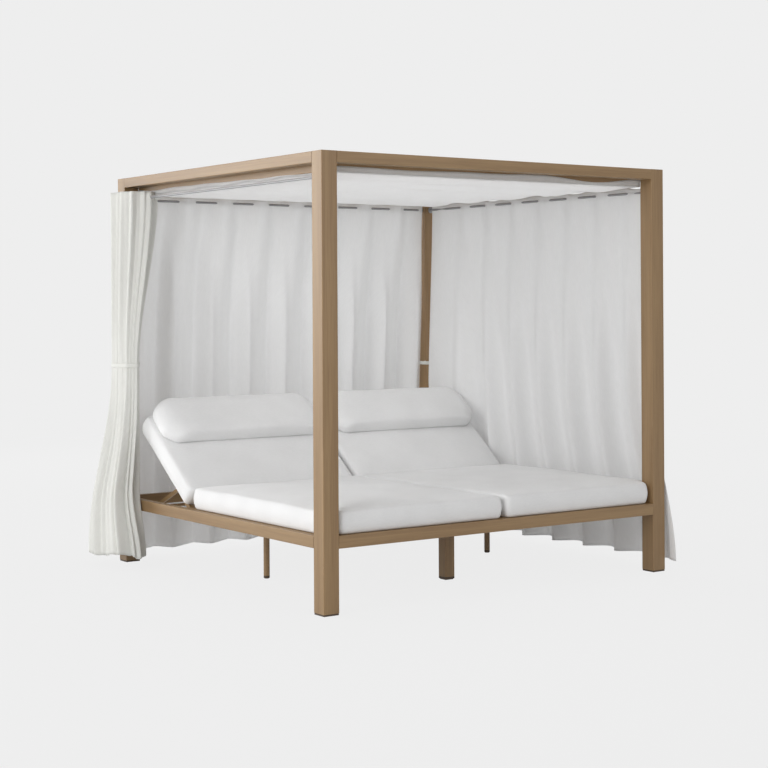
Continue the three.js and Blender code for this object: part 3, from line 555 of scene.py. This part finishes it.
class DaybedCushions(bpy.types.PropertyGroup):
    """Sizes of the cushions and pillows."""
    inner: metres("Inner edge", "Distance of a cushion's inner edge from the middle", 0.008)
    outer: metres("Outer edge", "Distance of a cushion's outer edge from the middle", 0.992)
    seat_front: metres("Seat front", "Y of the seat cushion's front edge", -0.968, -2.0)
    seat_back: metres("Seat back", "Y of the seat cushion's back edge", 0.234, -2.0)
    seat_base: metres("Seat base", "Height of the seat cushion's underside", 0.3405)
    seat_thickness: metres("Seat thickness", "Seat cushion's thickness at its edge", 0.104)
    seat_crown: metres("Seat crown", "Rise of the seat cushion's middle", 0.008)
    swelling: metres("Swelling", "How far the stuffing may push a cushion's cloth out", 0.006)
    back_length: metres("Back length", "Length of the back cushion up the backrest", 0.574)
    back_outer: metres("Back outer edge", "Distance of a back cushion's outer edge from the middle", 1.011)
    back_thickness: metres("Back thickness", "Back cushion's thickness at its edge", 0.102)
    edge: metres("Edge radius", "Radius of a cushion's rim", 0.016)
    notch_x: metres("Notch X", "X where the seat cushion is notched for the front post", 0.924)
    notch_y: metres("Notch Y", "Y where the seat cushion is notched for the front post", -0.888, -2.0)
    pillow_start: metres("Pillow start", "Place of the pillow's lower edge up the backrest", 0.330)
    pillow_length: metres("Pillow length", "Pillow's length up the backrest", 0.272)
    pillow_inner: metres("Pillow inner end", "Distance of a pillow's inner end from the middle", 0.030)
    pillow_outer: metres("Pillow outer end", "Distance of a pillow's outer end from the middle", 0.996)
    pillow_corner: metres("Pillow corner", "How far the pillow's upper corners are cut", 0.060)
    pillow_draw: metres("Pillow draw", "How far the pillow's lower corners are drawn in", 0.060)
    pillow_thickness: metres("Pillow thickness", "Pillow's thickness at its upper edge", 0.090)
    pillow_edge: metres("Pillow edge", "Radius of the pillow's long edges", 0.019)
    pillow_wedge: FloatProperty(name="Pillow wedge", description="Share that the pillow thins to its low edge",
                                default=0.10, min=0.0, max=1.0, unit="NONE")


class DaybedBackrest(bpy.types.PropertyGroup):
    """Place and angle of the raised backrests."""
    hinge_y: metres("Hinge Y", "Y of the backrest's hinge", 0.323)
    hinge_z: metres("Hinge height", "Height of the backrest's hinge", 0.328)
    angle: FloatProperty(name="Angle", description="Angle of the raised backrest", default=math.radians(38.0),
                         min=0.0, max=1.5, unit="ROTATION")
    rest: metres("Cushion rest", "Height of the back cushion's underside over the hinge line", 0.0212)


class DaybedCurtains(bpy.types.PropertyGroup):
    """Sizes of the hung cloth."""
    rod_height: metres("Rod height", "Height of the curtain rods", 1.890)
    heading: metres("Heading", "Height of the cloth above the rod", 0.030)
    thickness: metres("Cloth thickness", "Thickness of the curtain cloth", 0.0015)
    hem: metres("Hem", "Height of the sewn hem", 0.035)
    head_left: metres("Head curtain left edge", "X of the head curtain's left edge", -0.915, -2.0)
    head_right: metres("Head curtain right edge", "X of the head curtain's right edge", 0.931)
    head_y: metres("Head rod Y", "Y of the head curtain's rod", 0.940)
    head_flare: metres("Head flare", "How far the head curtain hangs out at its hem", 0.092)
    head_pitch: metres("Head fold pitch", "Distance between folds of the head curtain", 0.230)
    head_start: metres("Head fold start", "X of a steep fold of the head curtain", -0.510, -2.0)
    right_edge: metres("Right curtain edge", "Half length of the right curtain", 0.885)
    right_x: metres("Right rod X", "X of the right curtain's rod", 0.975)
    right_flare: metres("Right flare", "How far the right curtain hangs out at its hem", 0.120)
    right_front_flare: metres("Right front flare", "How far its front edge hangs out at the hem", 0.062)
    right_back_flare: metres("Right back flare", "How far its back edge hangs out at the hem", 0.060)
    right_back_lean: metres("Right back lean", "How far its back edge leans in above the seat", 0.023)
    right_pitch: metres("Right fold pitch", "Distance between folds of the right curtain", 0.229)
    right_start: metres("Right fold start", "Y of a steep fold of the right curtain", 0.448, -2.0)
    right_swing: metres("Right front swing", "How far its front edge swings forward at the hem", 0.147)
    tie_height: metres("Tie height", "Height of the tie round the gathered curtain", 1.030)
    bundle_hem: metres("Gathered hem", "Height of the gathered curtain's lower edge", 0.072)
    columns: IntProperty(name="Columns", description="Columns of a drawn curtain's mesh", default=420, min=20)
    rows: IntProperty(name="Rows", description="Rows of a drawn curtain's mesh", default=90, min=10)


class DaybedStage(bpy.types.PropertyGroup):
    """Camera and light."""
    camera_place: FloatVectorProperty(name="Camera place", description="Where the camera stands",
                                      default=(-4.860, -6.884, 1.340), unit="LENGTH")
    heading: FloatProperty(name="Heading", description="Angle of the view from +Y towards +X",
                           default=math.radians(35.22), unit="ROTATION")
    roll: FloatProperty(name="Roll", description="Turn of the camera about its view",
                        default=math.radians(-0.31), unit="ROTATION")
    lens: FloatProperty(name="Lens", description="Focal length in millimetres", default=77.19, min=10.0,
                        unit="CAMERA")
    lamp_size: metres("Lamp size", "Side of each square lamp", 4.0, 0.1, 20.0)
    shift: FloatProperty(name="Shift", description="Vertical shift of the view as a share of its width",
                         default=-0.1047, unit="NONE")
    left_power: watts("Left power", "Power of the lamp on the left", 225.0)
    front_power: watts("Front power", "Power of the lamp in front", 100.0)
    back_left_power: watts("Back left power", "Power of the lamp behind on the left", 350.0)
    back_power: watts("Back power", "Power of the lamp that shines through the head curtain", 270.0)
    right_power: watts("Right power", "Power of the lamp that shines through the right curtain", 170.0)
    top_power: watts("Top power", "Power of the lamp above the canopy", 120.0)
    sky: FloatProperty(name="Sky", description="Strength of the even light all round", default=0.25, min=0.0,
                       unit="NONE")


# Pieces

MATERIALS = {}


def finish_for(name, make, *values):
    """One material by name, made when it is first asked for."""
    if name not in MATERIALS:
        MATERIALS[name] = make(name, *values)
    return MATERIALS[name]


def backrest_matrix(scene):
    """Turn and move from the backrest's own place, with Y up the back, to the frame."""
    back = scene.daybed_backrest
    return Matrix.Translation((0, back.hinge_y, back.hinge_z)) @ Matrix.Rotation(back.angle, 4, "X")


class DAYBED_OT_finishes(bpy.types.Operator):
    """Give the frame's own pieces their finishes"""
    bl_idname = "daybed.finishes"
    bl_label = "Frame Finishes"

    def execute(self, context):
        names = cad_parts
        along_x = ("beam_foot", "beam_head", "rail_foot", "rail_head", "canopy_rail_foot", "canopy_rail_head",
                   "mid_rail", "hinge_rail", "seat_deck", "back_frame")
        along_z = ("post_", "leg_")
        for name, thing in names.items():
            if name.startswith(("glide_", "leg_foot_")):
                finish = finish_for("Dark plastic", dark_plastic)
            elif name.startswith(("curtain_rod", "canopy_batten", "lead_eyelet")):
                finish = finish_for("Brushed steel", brushed_metal)
            elif name.startswith(along_x):
                finish = finish_for("Wood tone across", wood_tone, 0)
            elif name.startswith(along_z):
                finish = finish_for("Wood tone upright", wood_tone, 2)
            else:
                finish = finish_for("Wood tone along", wood_tone, 1)
            thing.data.materials.clear()
            thing.data.materials.append(finish)
        return {"FINISHED"}


class DAYBED_OT_seat_cushions(bpy.types.Operator):
    """Build the two seat cushions, notched round the front posts"""
    bl_idname = "daybed.seat_cushions"
    bl_label = "Seat Cushions"

    def execute(self, context):
        size = context.scene.daybed_cushions
        for side, sign in SIDES.items():
            corners = mirrored([
                (size.inner, size.seat_front), (size.notch_x, size.seat_front), (size.notch_x, size.notch_y),
                (size.outer, size.notch_y), (size.outer, size.seat_back), (size.inner, size.seat_back)], sign)
            pad = cushion(f"seat_pad_{side}", corners, size.seat_thickness, size.seat_crown, size.edge,
                          finish_for("Upholstery", upholstery), seed=11 + sign)
            finish_pad(pad, size.swelling, Matrix.Translation((0, 0, size.seat_base)), "base",
                       f"seat_cushion_{side}")
        return {"FINISHED"}


class DAYBED_OT_back_cushions(bpy.types.Operator):
    """Build the two back cushions on the raised backrests"""
    bl_idname = "daybed.back_cushions"
    bl_label = "Back Cushions"

    def execute(self, context):
        size = context.scene.daybed_cushions
        back = context.scene.daybed_backrest
        for side, sign in SIDES.items():
            corners = mirrored([(size.inner, 0.0), (size.outer, 0.0), (size.back_outer, size.back_length),
                                (size.inner, size.back_length)], sign)
            pad = cushion(f"back_pad_{side}", corners, size.back_thickness, 0.002, size.edge,
                          finish_for("Upholstery", upholstery), seed=21 + sign)
            matrix = backrest_matrix(context.scene) @ Matrix.Translation((0, 0, back.rest))
            finish_pad(pad, size.swelling, matrix, f"backrest_{side}", f"back_cushion_{side}")
        return {"FINISHED"}


class DAYBED_OT_pillows(bpy.types.Operator):
    """Build the two head pillows on the back cushions"""
    bl_idname = "daybed.pillows"
    bl_label = "Head Pillows"

    def execute(self, context):
        size = context.scene.daybed_cushions
        back = context.scene.daybed_backrest
        for side, sign in SIDES.items():
            low, high = size.pillow_inner, size.pillow_outer
            start, end = size.pillow_start, size.pillow_start + size.pillow_length
            cut, draw = size.pillow_corner, size.pillow_draw
            corners = mirrored([(low + draw, start), (high - draw, start), (high, start + draw),
                                (high, end - cut), (high - cut, end), (low + cut, end), (low, end - cut),
                                (low, start + draw)], sign)
            pad = cushion(f"head_pillow_{side}", corners, size.pillow_thickness, 0.006, size.pillow_edge,
                          finish_for("Upholstery", upholstery), wedge=size.pillow_wedge,
                          radius=PILLOW_ROUND, bulge=0.002, seed=31 + sign, rim=9, ends=4.5)
            rest = back.rest + size.back_thickness + PILLOW_GAP
            matrix = backrest_matrix(context.scene) @ Matrix.Translation((0, 0, rest))
            finish_pad(pad, size.swelling, matrix, f"backrest_{side}", f"pillow_{side}")
        return {"FINISHED"}


def hang_share(height, top, low):
    """How far out a curtain hangs at a height: the drop below the rod as a share, to the power 0.8."""
    return np.clip((top - height) / (top - low), 0, 1) ** 0.8


def drawn_cloth(name, node, points, size):
    """A drawn curtain that hangs from its rod."""
    material = finish_for("Curtain cloth", curtain_cloth, size.hem, DRAWN_LIGHT)
    cloth = curtain_sheet(name, points, material, size.thickness)
    declare_cloth(cloth, node)
    return cloth


class DAYBED_OT_head_curtain(bpy.types.Operator):
    """Build the drawn curtain at the head, woven round its rod"""
    bl_idname = "daybed.head_curtain"
    bl_label = "Head Curtain"

    def execute(self, context):
        size = context.scene.daybed_curtains
        low = HEAD_LOW
        heights = np.linspace(low, size.rod_height + size.heading, size.rows)[:, None]
        along = np.linspace(size.head_left, size.head_right, size.columns)[None, :]
        share = hang_share(heights, size.rod_height, low)
        drift = 0.35 * waves(along * 2.0, heights * 0.8, seed=41, low=0.8, high=2.4) * share
        phase = TAU * (along - size.head_start) / size.head_pitch + drift
        deep = smoothstep(share * 2.2)
        depth = 0.024 + 0.018 * deep + 0.005 * waves(along, heights, seed=43, low=1.5, high=4.0) * share
        saw = np.sin(phase) + 0.34 * np.sin(2 * phase) + 0.12 * np.sin(3 * phase)
        fold = (1 - deep) * np.cos(phase) - deep * saw
        forward = 0.016 * smoothstep((along - 0.86) / 0.07) * (1 - share)
        out = size.head_y + size.head_flare * share + depth * fold - forward
        out = np.maximum(out, RAIL_CLEAR - 0.2 * smoothstep((heights - RAIL_TOP) / 0.4))
        scallop = 0.007 * np.cos(phase + 0.8) * smoothstep((heights - size.rod_height) / size.heading)
        points = np.stack([along + 0 * heights, out, heights + scallop], axis=-1)
        cloth = drawn_cloth("head_cloth", "curtain_head", points, size)
        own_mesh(cloth)
        return {"FINISHED"}


class DAYBED_OT_right_curtain(bpy.types.Operator):
    """Build the drawn curtain on the right, its front edge swinging out past the post"""
    bl_idname = "daybed.right_curtain"
    bl_label = "Right Curtain"

    def execute(self, context):
        size = context.scene.daybed_curtains
        low = RIGHT_LOW
        heights = np.linspace(low, size.rod_height + size.heading, size.rows)[:, None]
        place = np.linspace(0, 1, size.columns)[None, :]
        level = size.right_edge * (2 * place - 1)
        share = hang_share(heights, size.rod_height, low)
        swing = size.right_swing * smoothstep((SEAT_FOLD - heights) / (SEAT_FOLD - low))
        drift = 0.35 * waves(level * 2.0, heights * 0.8, seed=51, low=0.8, high=2.4) * share
        phase = TAU * (level - size.right_start) / size.right_pitch + drift
        near_front = smoothstep((0.12 - place) / 0.12)
        near_back = smoothstep((place - 0.75) / 0.25)
        depth = 0.016 + 0.036 * share + 0.004 * waves(level, heights, seed=53, low=1.5, high=4.0) * share
        depth = depth * (1 - 0.8 * np.maximum(near_front, near_back))
        deep = smoothstep(share * 1.6)
        ridge = -np.cos(phase + 0.5) + 0.25 * np.sin(2 * phase)
        fold = (1 - deep) * np.cos(phase) + deep * ridge
        lean = np.clip((size.rod_height - heights) / (size.rod_height - SEAT_FOLD), 0, 1)
        lean = size.right_back_lean * lean
        back_flare = size.right_back_flare + size.right_back_lean
        back_flare = back_flare * smoothstep((SEAT_FOLD - heights) / (SEAT_FOLD - RAIL_TOP))
        flare = (size.right_flare + (size.right_front_flare - size.right_flare) * near_front) * share
        out = size.right_x + flare * (1 - near_back) + (back_flare - lean) * near_back + depth * fold
        scallop = 0.010 * np.cos(phase + 0.8) * smoothstep((heights - size.rod_height) / size.heading)
        points = np.stack([out, level - swing * (1 - place), heights + scallop], axis=-1)
        cloth = drawn_cloth("right_cloth", "curtain_right", points, size)
        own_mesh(cloth)
        return {"FINISHED"}


def bundle_points(size, heights, turns):
    """Rings of the gathered curtain: ellipses that narrow to the tie and widen to the hem, with folds.

    The folds stand square to the ellipse. Points that fall inside the post are moved out to its nearest
    open face, and the cloth stays outside the rail and below the canopy.
    """
    z = heights[:, None]
    angle = turns[None, :] * TAU
    top, tie = size.rod_height + size.heading, size.tie_height
    above = smoothstep((top - z) / (top - tie))
    spread = smoothstep((tie - z) / (tie - size.bundle_hem))
    early, late = spread ** 1.3, smoothstep((0.42 - z) / 0.36)
    up = z >= tie

    def blend(first, tied, last, amount):
        return np.where(up, first + (tied - first) * above, tied + (last - tied) * amount)

    x = blend(-0.992, -1.050, -1.107, early)
    half_x = blend(0.104, 0.050, 0.088, early)
    near = blend(0.690, 0.720, 0.600, late)
    far = blend(0.950, 0.940, 1.036, early)
    y, half_y = (near + far) / 2, (far - near) / 2
    slack = np.clip(np.abs(z - tie) / 0.45, 0, 1)
    wander = 0.8 * waves(z * 2.0 + 0 * angle, seed=61, low=0.8, high=2.0)
    drift = 0.5 * waves(z * 1.4, angle, seed=67, low=0.9, high=2.1)
    folds = 0.6 * np.cos(14 * angle + wander) + 0.8 * np.cos(9 * angle + 1.3 + drift) \
        + 0.7 * np.cos(5 * angle + 2 * wander + drift) + 0.35 * np.cos(23 * angle + 2.1 - drift)
    gather = 0.5 * np.cos(31 * angle + 0.7 + drift)
    depth = 0.0025 + 0.0065 * slack + np.where(up, 0, 0.006 * spread)
    across, along = np.cos(angle) / half_x, np.sin(angle) / half_y
    square = np.hypot(across, along)
    push = depth * folds + 0.0025 * gather * (1 - slack)
    px = x + half_x * np.cos(angle) + push * across / square
    py = y + half_y * np.sin(angle) + push * along / square
    beside_bed, bed_height = -1.019, 1.02
    below = smoothstep((bed_height - z) / 0.12)
    px = np.where(px > beside_bed, px + (beside_bed - px) * below, px)
    beside_canopy, canopy_height = -0.938, 1.865
    over = smoothstep((z - canopy_height) / 0.03)
    px = np.where(px > beside_canopy, px + (beside_canopy - px) * over, px)
    left, right = -POST_OUTER - POST_GAP, -POST_INNER + POST_GAP
    front, back = POST_FRONT - POST_GAP, POST_BACK + POST_GAP
    deep_x, deep_y = px - left, py - front
    inside = (deep_x > 0) & (deep_y > 0) & (px < right) & (py < back)
    px = np.where(inside & (deep_x <= deep_y), left, px)
    py = np.where(inside & (deep_x > deep_y), front, py)
    droop = 0.012 * np.cos(3 * angle + 0.5) + 0.004 * np.cos(14 * angle + wander)
    height = z + droop * smoothstep((0.25 - z) / 0.2)
    return np.stack([px, py, height + 0 * angle], axis=-1)


class DAYBED_OT_left_curtain(bpy.types.Operator):
    """Build the curtain gathered and tied at the back left post"""
    bl_idname = "daybed.left_curtain"
    bl_label = "Gathered Curtain"

    def execute(self, context):
        size = context.scene.daybed_curtains
        heights = np.linspace(size.bundle_hem, size.rod_height + size.heading, 100)
        points = bundle_points(size, heights, np.linspace(0, 1, 401))
        # Darker cream tones: painted shade that tones down the brightly lit gathered cloth
        material = finish_for("Gathered cloth", curtain_cloth, size.hem, 0.15, CREAM_WITH_PAINTED_SHADE)
        cloth = curtain_sheet("gathered_cloth", points, material, size.thickness)
        declare_cloth(cloth, "curtain_left")
        return {"FINISHED"}


def loop_round(points, distance, count=160):
    """Closed loop a distance outside a set of plan points: the outline of discs about them."""
    angles = np.linspace(0, TAU, 48, endpoint=False)
    disc = np.stack([np.cos(angles), np.sin(angles)], axis=1) * distance
    cloud = (np.asarray(points)[:, None] + disc[None]).reshape(-1, 2)
    cloud = cloud[np.lexsort((cloud[:, 1], cloud[:, 0]))]

    def chain(rows):
        kept = []
        for row in rows:
            while len(kept) > 1:
                first, second = kept[-1] - kept[-2], row - kept[-1]
                if first[0] * second[1] - first[1] * second[0] > 0:
                    break
                kept.pop()
            kept.append(row)
        return kept[:-1]

    hull = np.array(chain(cloud) + chain(cloud[::-1]))
    closed = np.vstack([hull, hull[:1]])
    run = np.concatenate([[0], np.cumsum(np.linalg.norm(np.diff(closed, axis=0), axis=1))])
    wanted = np.linspace(0, run[-1], count, endpoint=False)
    return np.stack([np.interp(wanted, run, closed[:, 0]), np.interp(wanted, run, closed[:, 1])], axis=1)


class DAYBED_OT_ties(bpy.types.Operator):
    """Build the cloth ties round the two back posts"""
    bl_idname = "daybed.ties"
    bl_label = "Curtain Ties"

    def execute(self, context):
        size = context.scene.daybed_curtains
        levels = size.tie_height + np.array([-0.010, 0.0, 0.010])
        tied = bundle_points(size, levels, np.linspace(0, 1, 145))[..., :2].reshape(-1, 2)
        plan = [(x, y) for x in (POST_INNER, POST_OUTER) for y in (POST_FRONT, POST_BACK)]
        posts = {side: [(sign * x, y) for x, y in plan] for side, sign in SIDES.items()}
        rounds = {"left": (np.vstack([posts["left"], tied]), size.tie_height, TIE_BAND),
                  "right": (posts["right"], RIGHT_TIE_HEIGHT, RIGHT_TIE_BAND)}
        gap, thickness = 0.0018, 0.0016
        for side, (within, height, tall) in rounds.items():
            loop = loop_round(within, gap)
            rows = np.linspace(-0.5, 0.5, 9)
            middle = loop.mean(axis=0)
            crease = 0.0008 * waves(np.arange(len(loop)) * 0.2, seed=71, low=0.6, high=2.0)
            band = []
            for row in rows:
                belly = 1 + 0.012 * (1 - 4 * row * row)
                ring = (loop - middle) * belly + middle
                band.append(np.column_stack([ring, height + row * tall + crease * (1 + row)]))
            points = np.stack(band)
            closed = np.concatenate([points, points[:, :1]], axis=1)
            uv = np.stack([arc_lengths(closed), closed[:, :, 2] - height], axis=-1)
            cloth = mesh_object(f"tie_band_{side}", closed, grid_quads(*closed.shape[:2]),
                                # Darker cream tones: painted shade that tones down the brightly lit tie
                                finish_for("Tie cloth", curtain_cloth, 0.5, 0.1, CREAM_WITH_PAINTED_SHADE), uv)
            solidify(cloth, thickness)
            declare_cloth(cloth, f"tie_{side}")
        return {"FINISHED"}


class DAYBED_OT_canopy(bpy.types.Operator):
    """Build the canopy cloth, turned up at its edges"""
    bl_idname = "daybed.canopy"
    bl_label = "Canopy Cloth"

    def execute(self, context):
        half_x, half_y, top = 0.9335, 0.8985, 1.9168
        lap = np.array([0.021, 0.015, 0.008])
        inner_x = np.linspace(-half_x, half_x, 121)
        inner_y = np.linspace(-half_y, half_y, 181)
        out_low, out_high, thickness, sag_depth = 0.0022, 0.0008, 0.0012, 0.018
        x = np.concatenate([np.full(3, -half_x - out_low), inner_x, np.full(3, half_x + out_high)])
        y = np.concatenate([np.full(3, -half_y - out_low), inner_y, np.full(3, half_y + out_high)])
        lift_x = np.concatenate([lap, np.zeros(len(inner_x)), lap[::-1] * 0.5])
        lift_y = np.concatenate([lap * 1.25, np.zeros(len(inner_y)), lap[::-1] * 0.5])
        grid_x, grid_y = np.meshgrid(x, y)
        span, bays = 0.8847, 5
        bay = 2 * span / bays
        sag = sag_depth * np.sin(math.pi * (grid_y + span) / bay) ** 2
        sag = sag * smoothstep((half_x - np.abs(grid_x)) / 0.12 + 0.25)
        ripple = 0.0012 * waves(grid_x * 3, grid_y, seed=81, low=4.0, high=9.0)
        lift = np.maximum(lift_x[None, :], lift_y[:, None])
        slope = (grid_y + half_y) / (2 * half_y)
        wavy = 1 + 0.3 * waves(grid_x, grid_y, seed=83, low=5.0, high=12.0)
        rise = lift * np.where(lift_x[None, :] > 0, slope, 1.0) * wavy
        height = top - sag - np.abs(ripple) * (lift == 0) + rise
        points = np.stack([grid_x, grid_y, height], axis=-1)
        uv = np.stack([grid_x, grid_y + 3.0], axis=-1)
        cloth = mesh_object("canopy_sheet", points, grid_quads(*points.shape[:2]),
                            finish_for("Canopy weave", curtain_cloth, 0.5, 0.5), uv)
        solidify(cloth, thickness)
        declare_cloth(cloth, "canopy_cloth")
        return {"FINISHED"}


class DAYBED_OT_stage(bpy.types.Operator):
    """Set up the floor, the light and the camera"""
    bl_idname = "daybed.stage"
    bl_label = "Studio Stage"

    def execute(self, context):
        scene = context.scene
        stage = scene.daybed_stage
        reach, half_floor, aim_height = 9.0, 40.0, 0.9
        corners = np.array([(-1, -1, 0), (1, -1, 0), (1, 1, 0), (-1, 1, 0)]) * half_floor
        floor = mesh_object("Floor", corners, [(0, 1, 2, 3)], floor_finish("Floor", reach))

        world = bpy.data.worlds.new("Studio")
        world.use_nodes = True
        tree = world.node_tree
        tree.nodes.clear()
        output = tree.nodes.new("ShaderNodeOutputWorld")
        even = tree.nodes.new("ShaderNodeBackground")
        even.inputs["Color"].default_value = (1.0, 1.0, 1.0, 1.0)
        even.inputs["Strength"].default_value = stage.sky
        plain = tree.nodes.new("ShaderNodeBackground")
        plain.inputs["Color"].default_value = (*linear(*BACKDROP), 1.0)
        plain.inputs["Strength"].default_value = 1.0
        mix_shaders(tree, seen_plainly(tree), even, plain, output.inputs["Surface"])
        scene.world = world

        lamps = (
            ("Left", (-6.8, -2.4, 3.0), stage.left_power),
            ("Front", (1.5, -7.5, 3.5), stage.front_power),
            ("Back left", (-6.5, 7.0, 3.0), stage.back_left_power),
            ("Back", (1.5, 8.0, 3.0), stage.back_power),
            ("Right", (8.0, 1.0, 3.0), stage.right_power),
            ("Top", (0.0, 0.0, 7.0), stage.top_power),
        )
        for name, place, power in lamps:
            light = bpy.data.lights.new(name, "AREA")
            light.shape = "SQUARE"
            light.size = stage.lamp_size
            light.energy = power
            lamp = bpy.data.objects.new(name, light)
            aim = Vector((0, 0, aim_height)) - Vector(place)
            lamp.location = place
            lamp.rotation_mode = "QUATERNION"
            lamp.rotation_quaternion = aim.to_track_quat("-Z", "Y")
            scene.collection.objects.link(lamp)

        data = bpy.data.cameras.new("Camera")
        data.lens = stage.lens
        data.sensor_width = 36.0
        data.shift_y = stage.shift
        data.clip_end = 200.0
        camera = bpy.data.objects.new("Camera", data)
        level = (Matrix.Translation(stage.camera_place) @ Matrix.Rotation(-stage.heading, 4, "Z")
                 @ Matrix.Rotation(math.pi / 2, 4, "X"))
        camera.matrix_world = level @ Matrix.Rotation(stage.roll, 4, "Z")
        scene.collection.objects.link(camera)
        scene.camera = camera
        scene.view_settings.view_transform = "Standard"
        return {"FINISHED"}


OPERATORS = (
    DAYBED_OT_finishes, DAYBED_OT_seat_cushions, DAYBED_OT_back_cushions, DAYBED_OT_pillows,
    DAYBED_OT_head_curtain, DAYBED_OT_right_curtain, DAYBED_OT_left_curtain, DAYBED_OT_ties,
    DAYBED_OT_canopy, DAYBED_OT_stage,
)
SETTINGS = {
    "daybed_cushions": DaybedCushions,
    "daybed_backrest": DaybedBackrest,
    "daybed_curtains": DaybedCurtains,
    "daybed_stage": DaybedStage,
}


class DAYBED_PT_panel(bpy.types.Panel):
    """Sidebar panel with the settings and the steps"""
    bl_idname = "DAYBED_PT_panel"
    bl_label = "Canopy Daybed"
    bl_space_type = "VIEW_3D"
    bl_region_type = "UI"
    bl_category = "Daybed"

    def draw(self, context):
        for key in SETTINGS:
            box = self.layout.box()
            group = getattr(context.scene, key)
            for name in group.bl_rna.properties.keys():
                if name not in ("rna_type", "name"):
                    box.prop(group, name)
        for operator in OPERATORS:
            self.layout.operator(operator.bl_idname)


CLASSES = (*SETTINGS.values(), *OPERATORS, DAYBED_PT_panel)


def register():
    for each in CLASSES:
        bpy.utils.register_class(each)
    for key, group in SETTINGS.items():
        setattr(bpy.types.Scene, key, PointerProperty(type=group))


def unregister():
    for key in SETTINGS:
        delattr(bpy.types.Scene, key)
    for each in reversed(CLASSES):
        bpy.utils.unregister_class(each)


def main():
    register()
    bpy.ops.daybed.finishes()
    bpy.ops.daybed.seat_cushions()
    bpy.ops.daybed.back_cushions()
    bpy.ops.daybed.pillows()
    bpy.ops.daybed.head_curtain()
    bpy.ops.daybed.right_curtain()
    bpy.ops.daybed.left_curtain()
    bpy.ops.daybed.ties()
    bpy.ops.daybed.canopy()
    bpy.ops.daybed.stage()


if __name__ == "__main__":
    main()
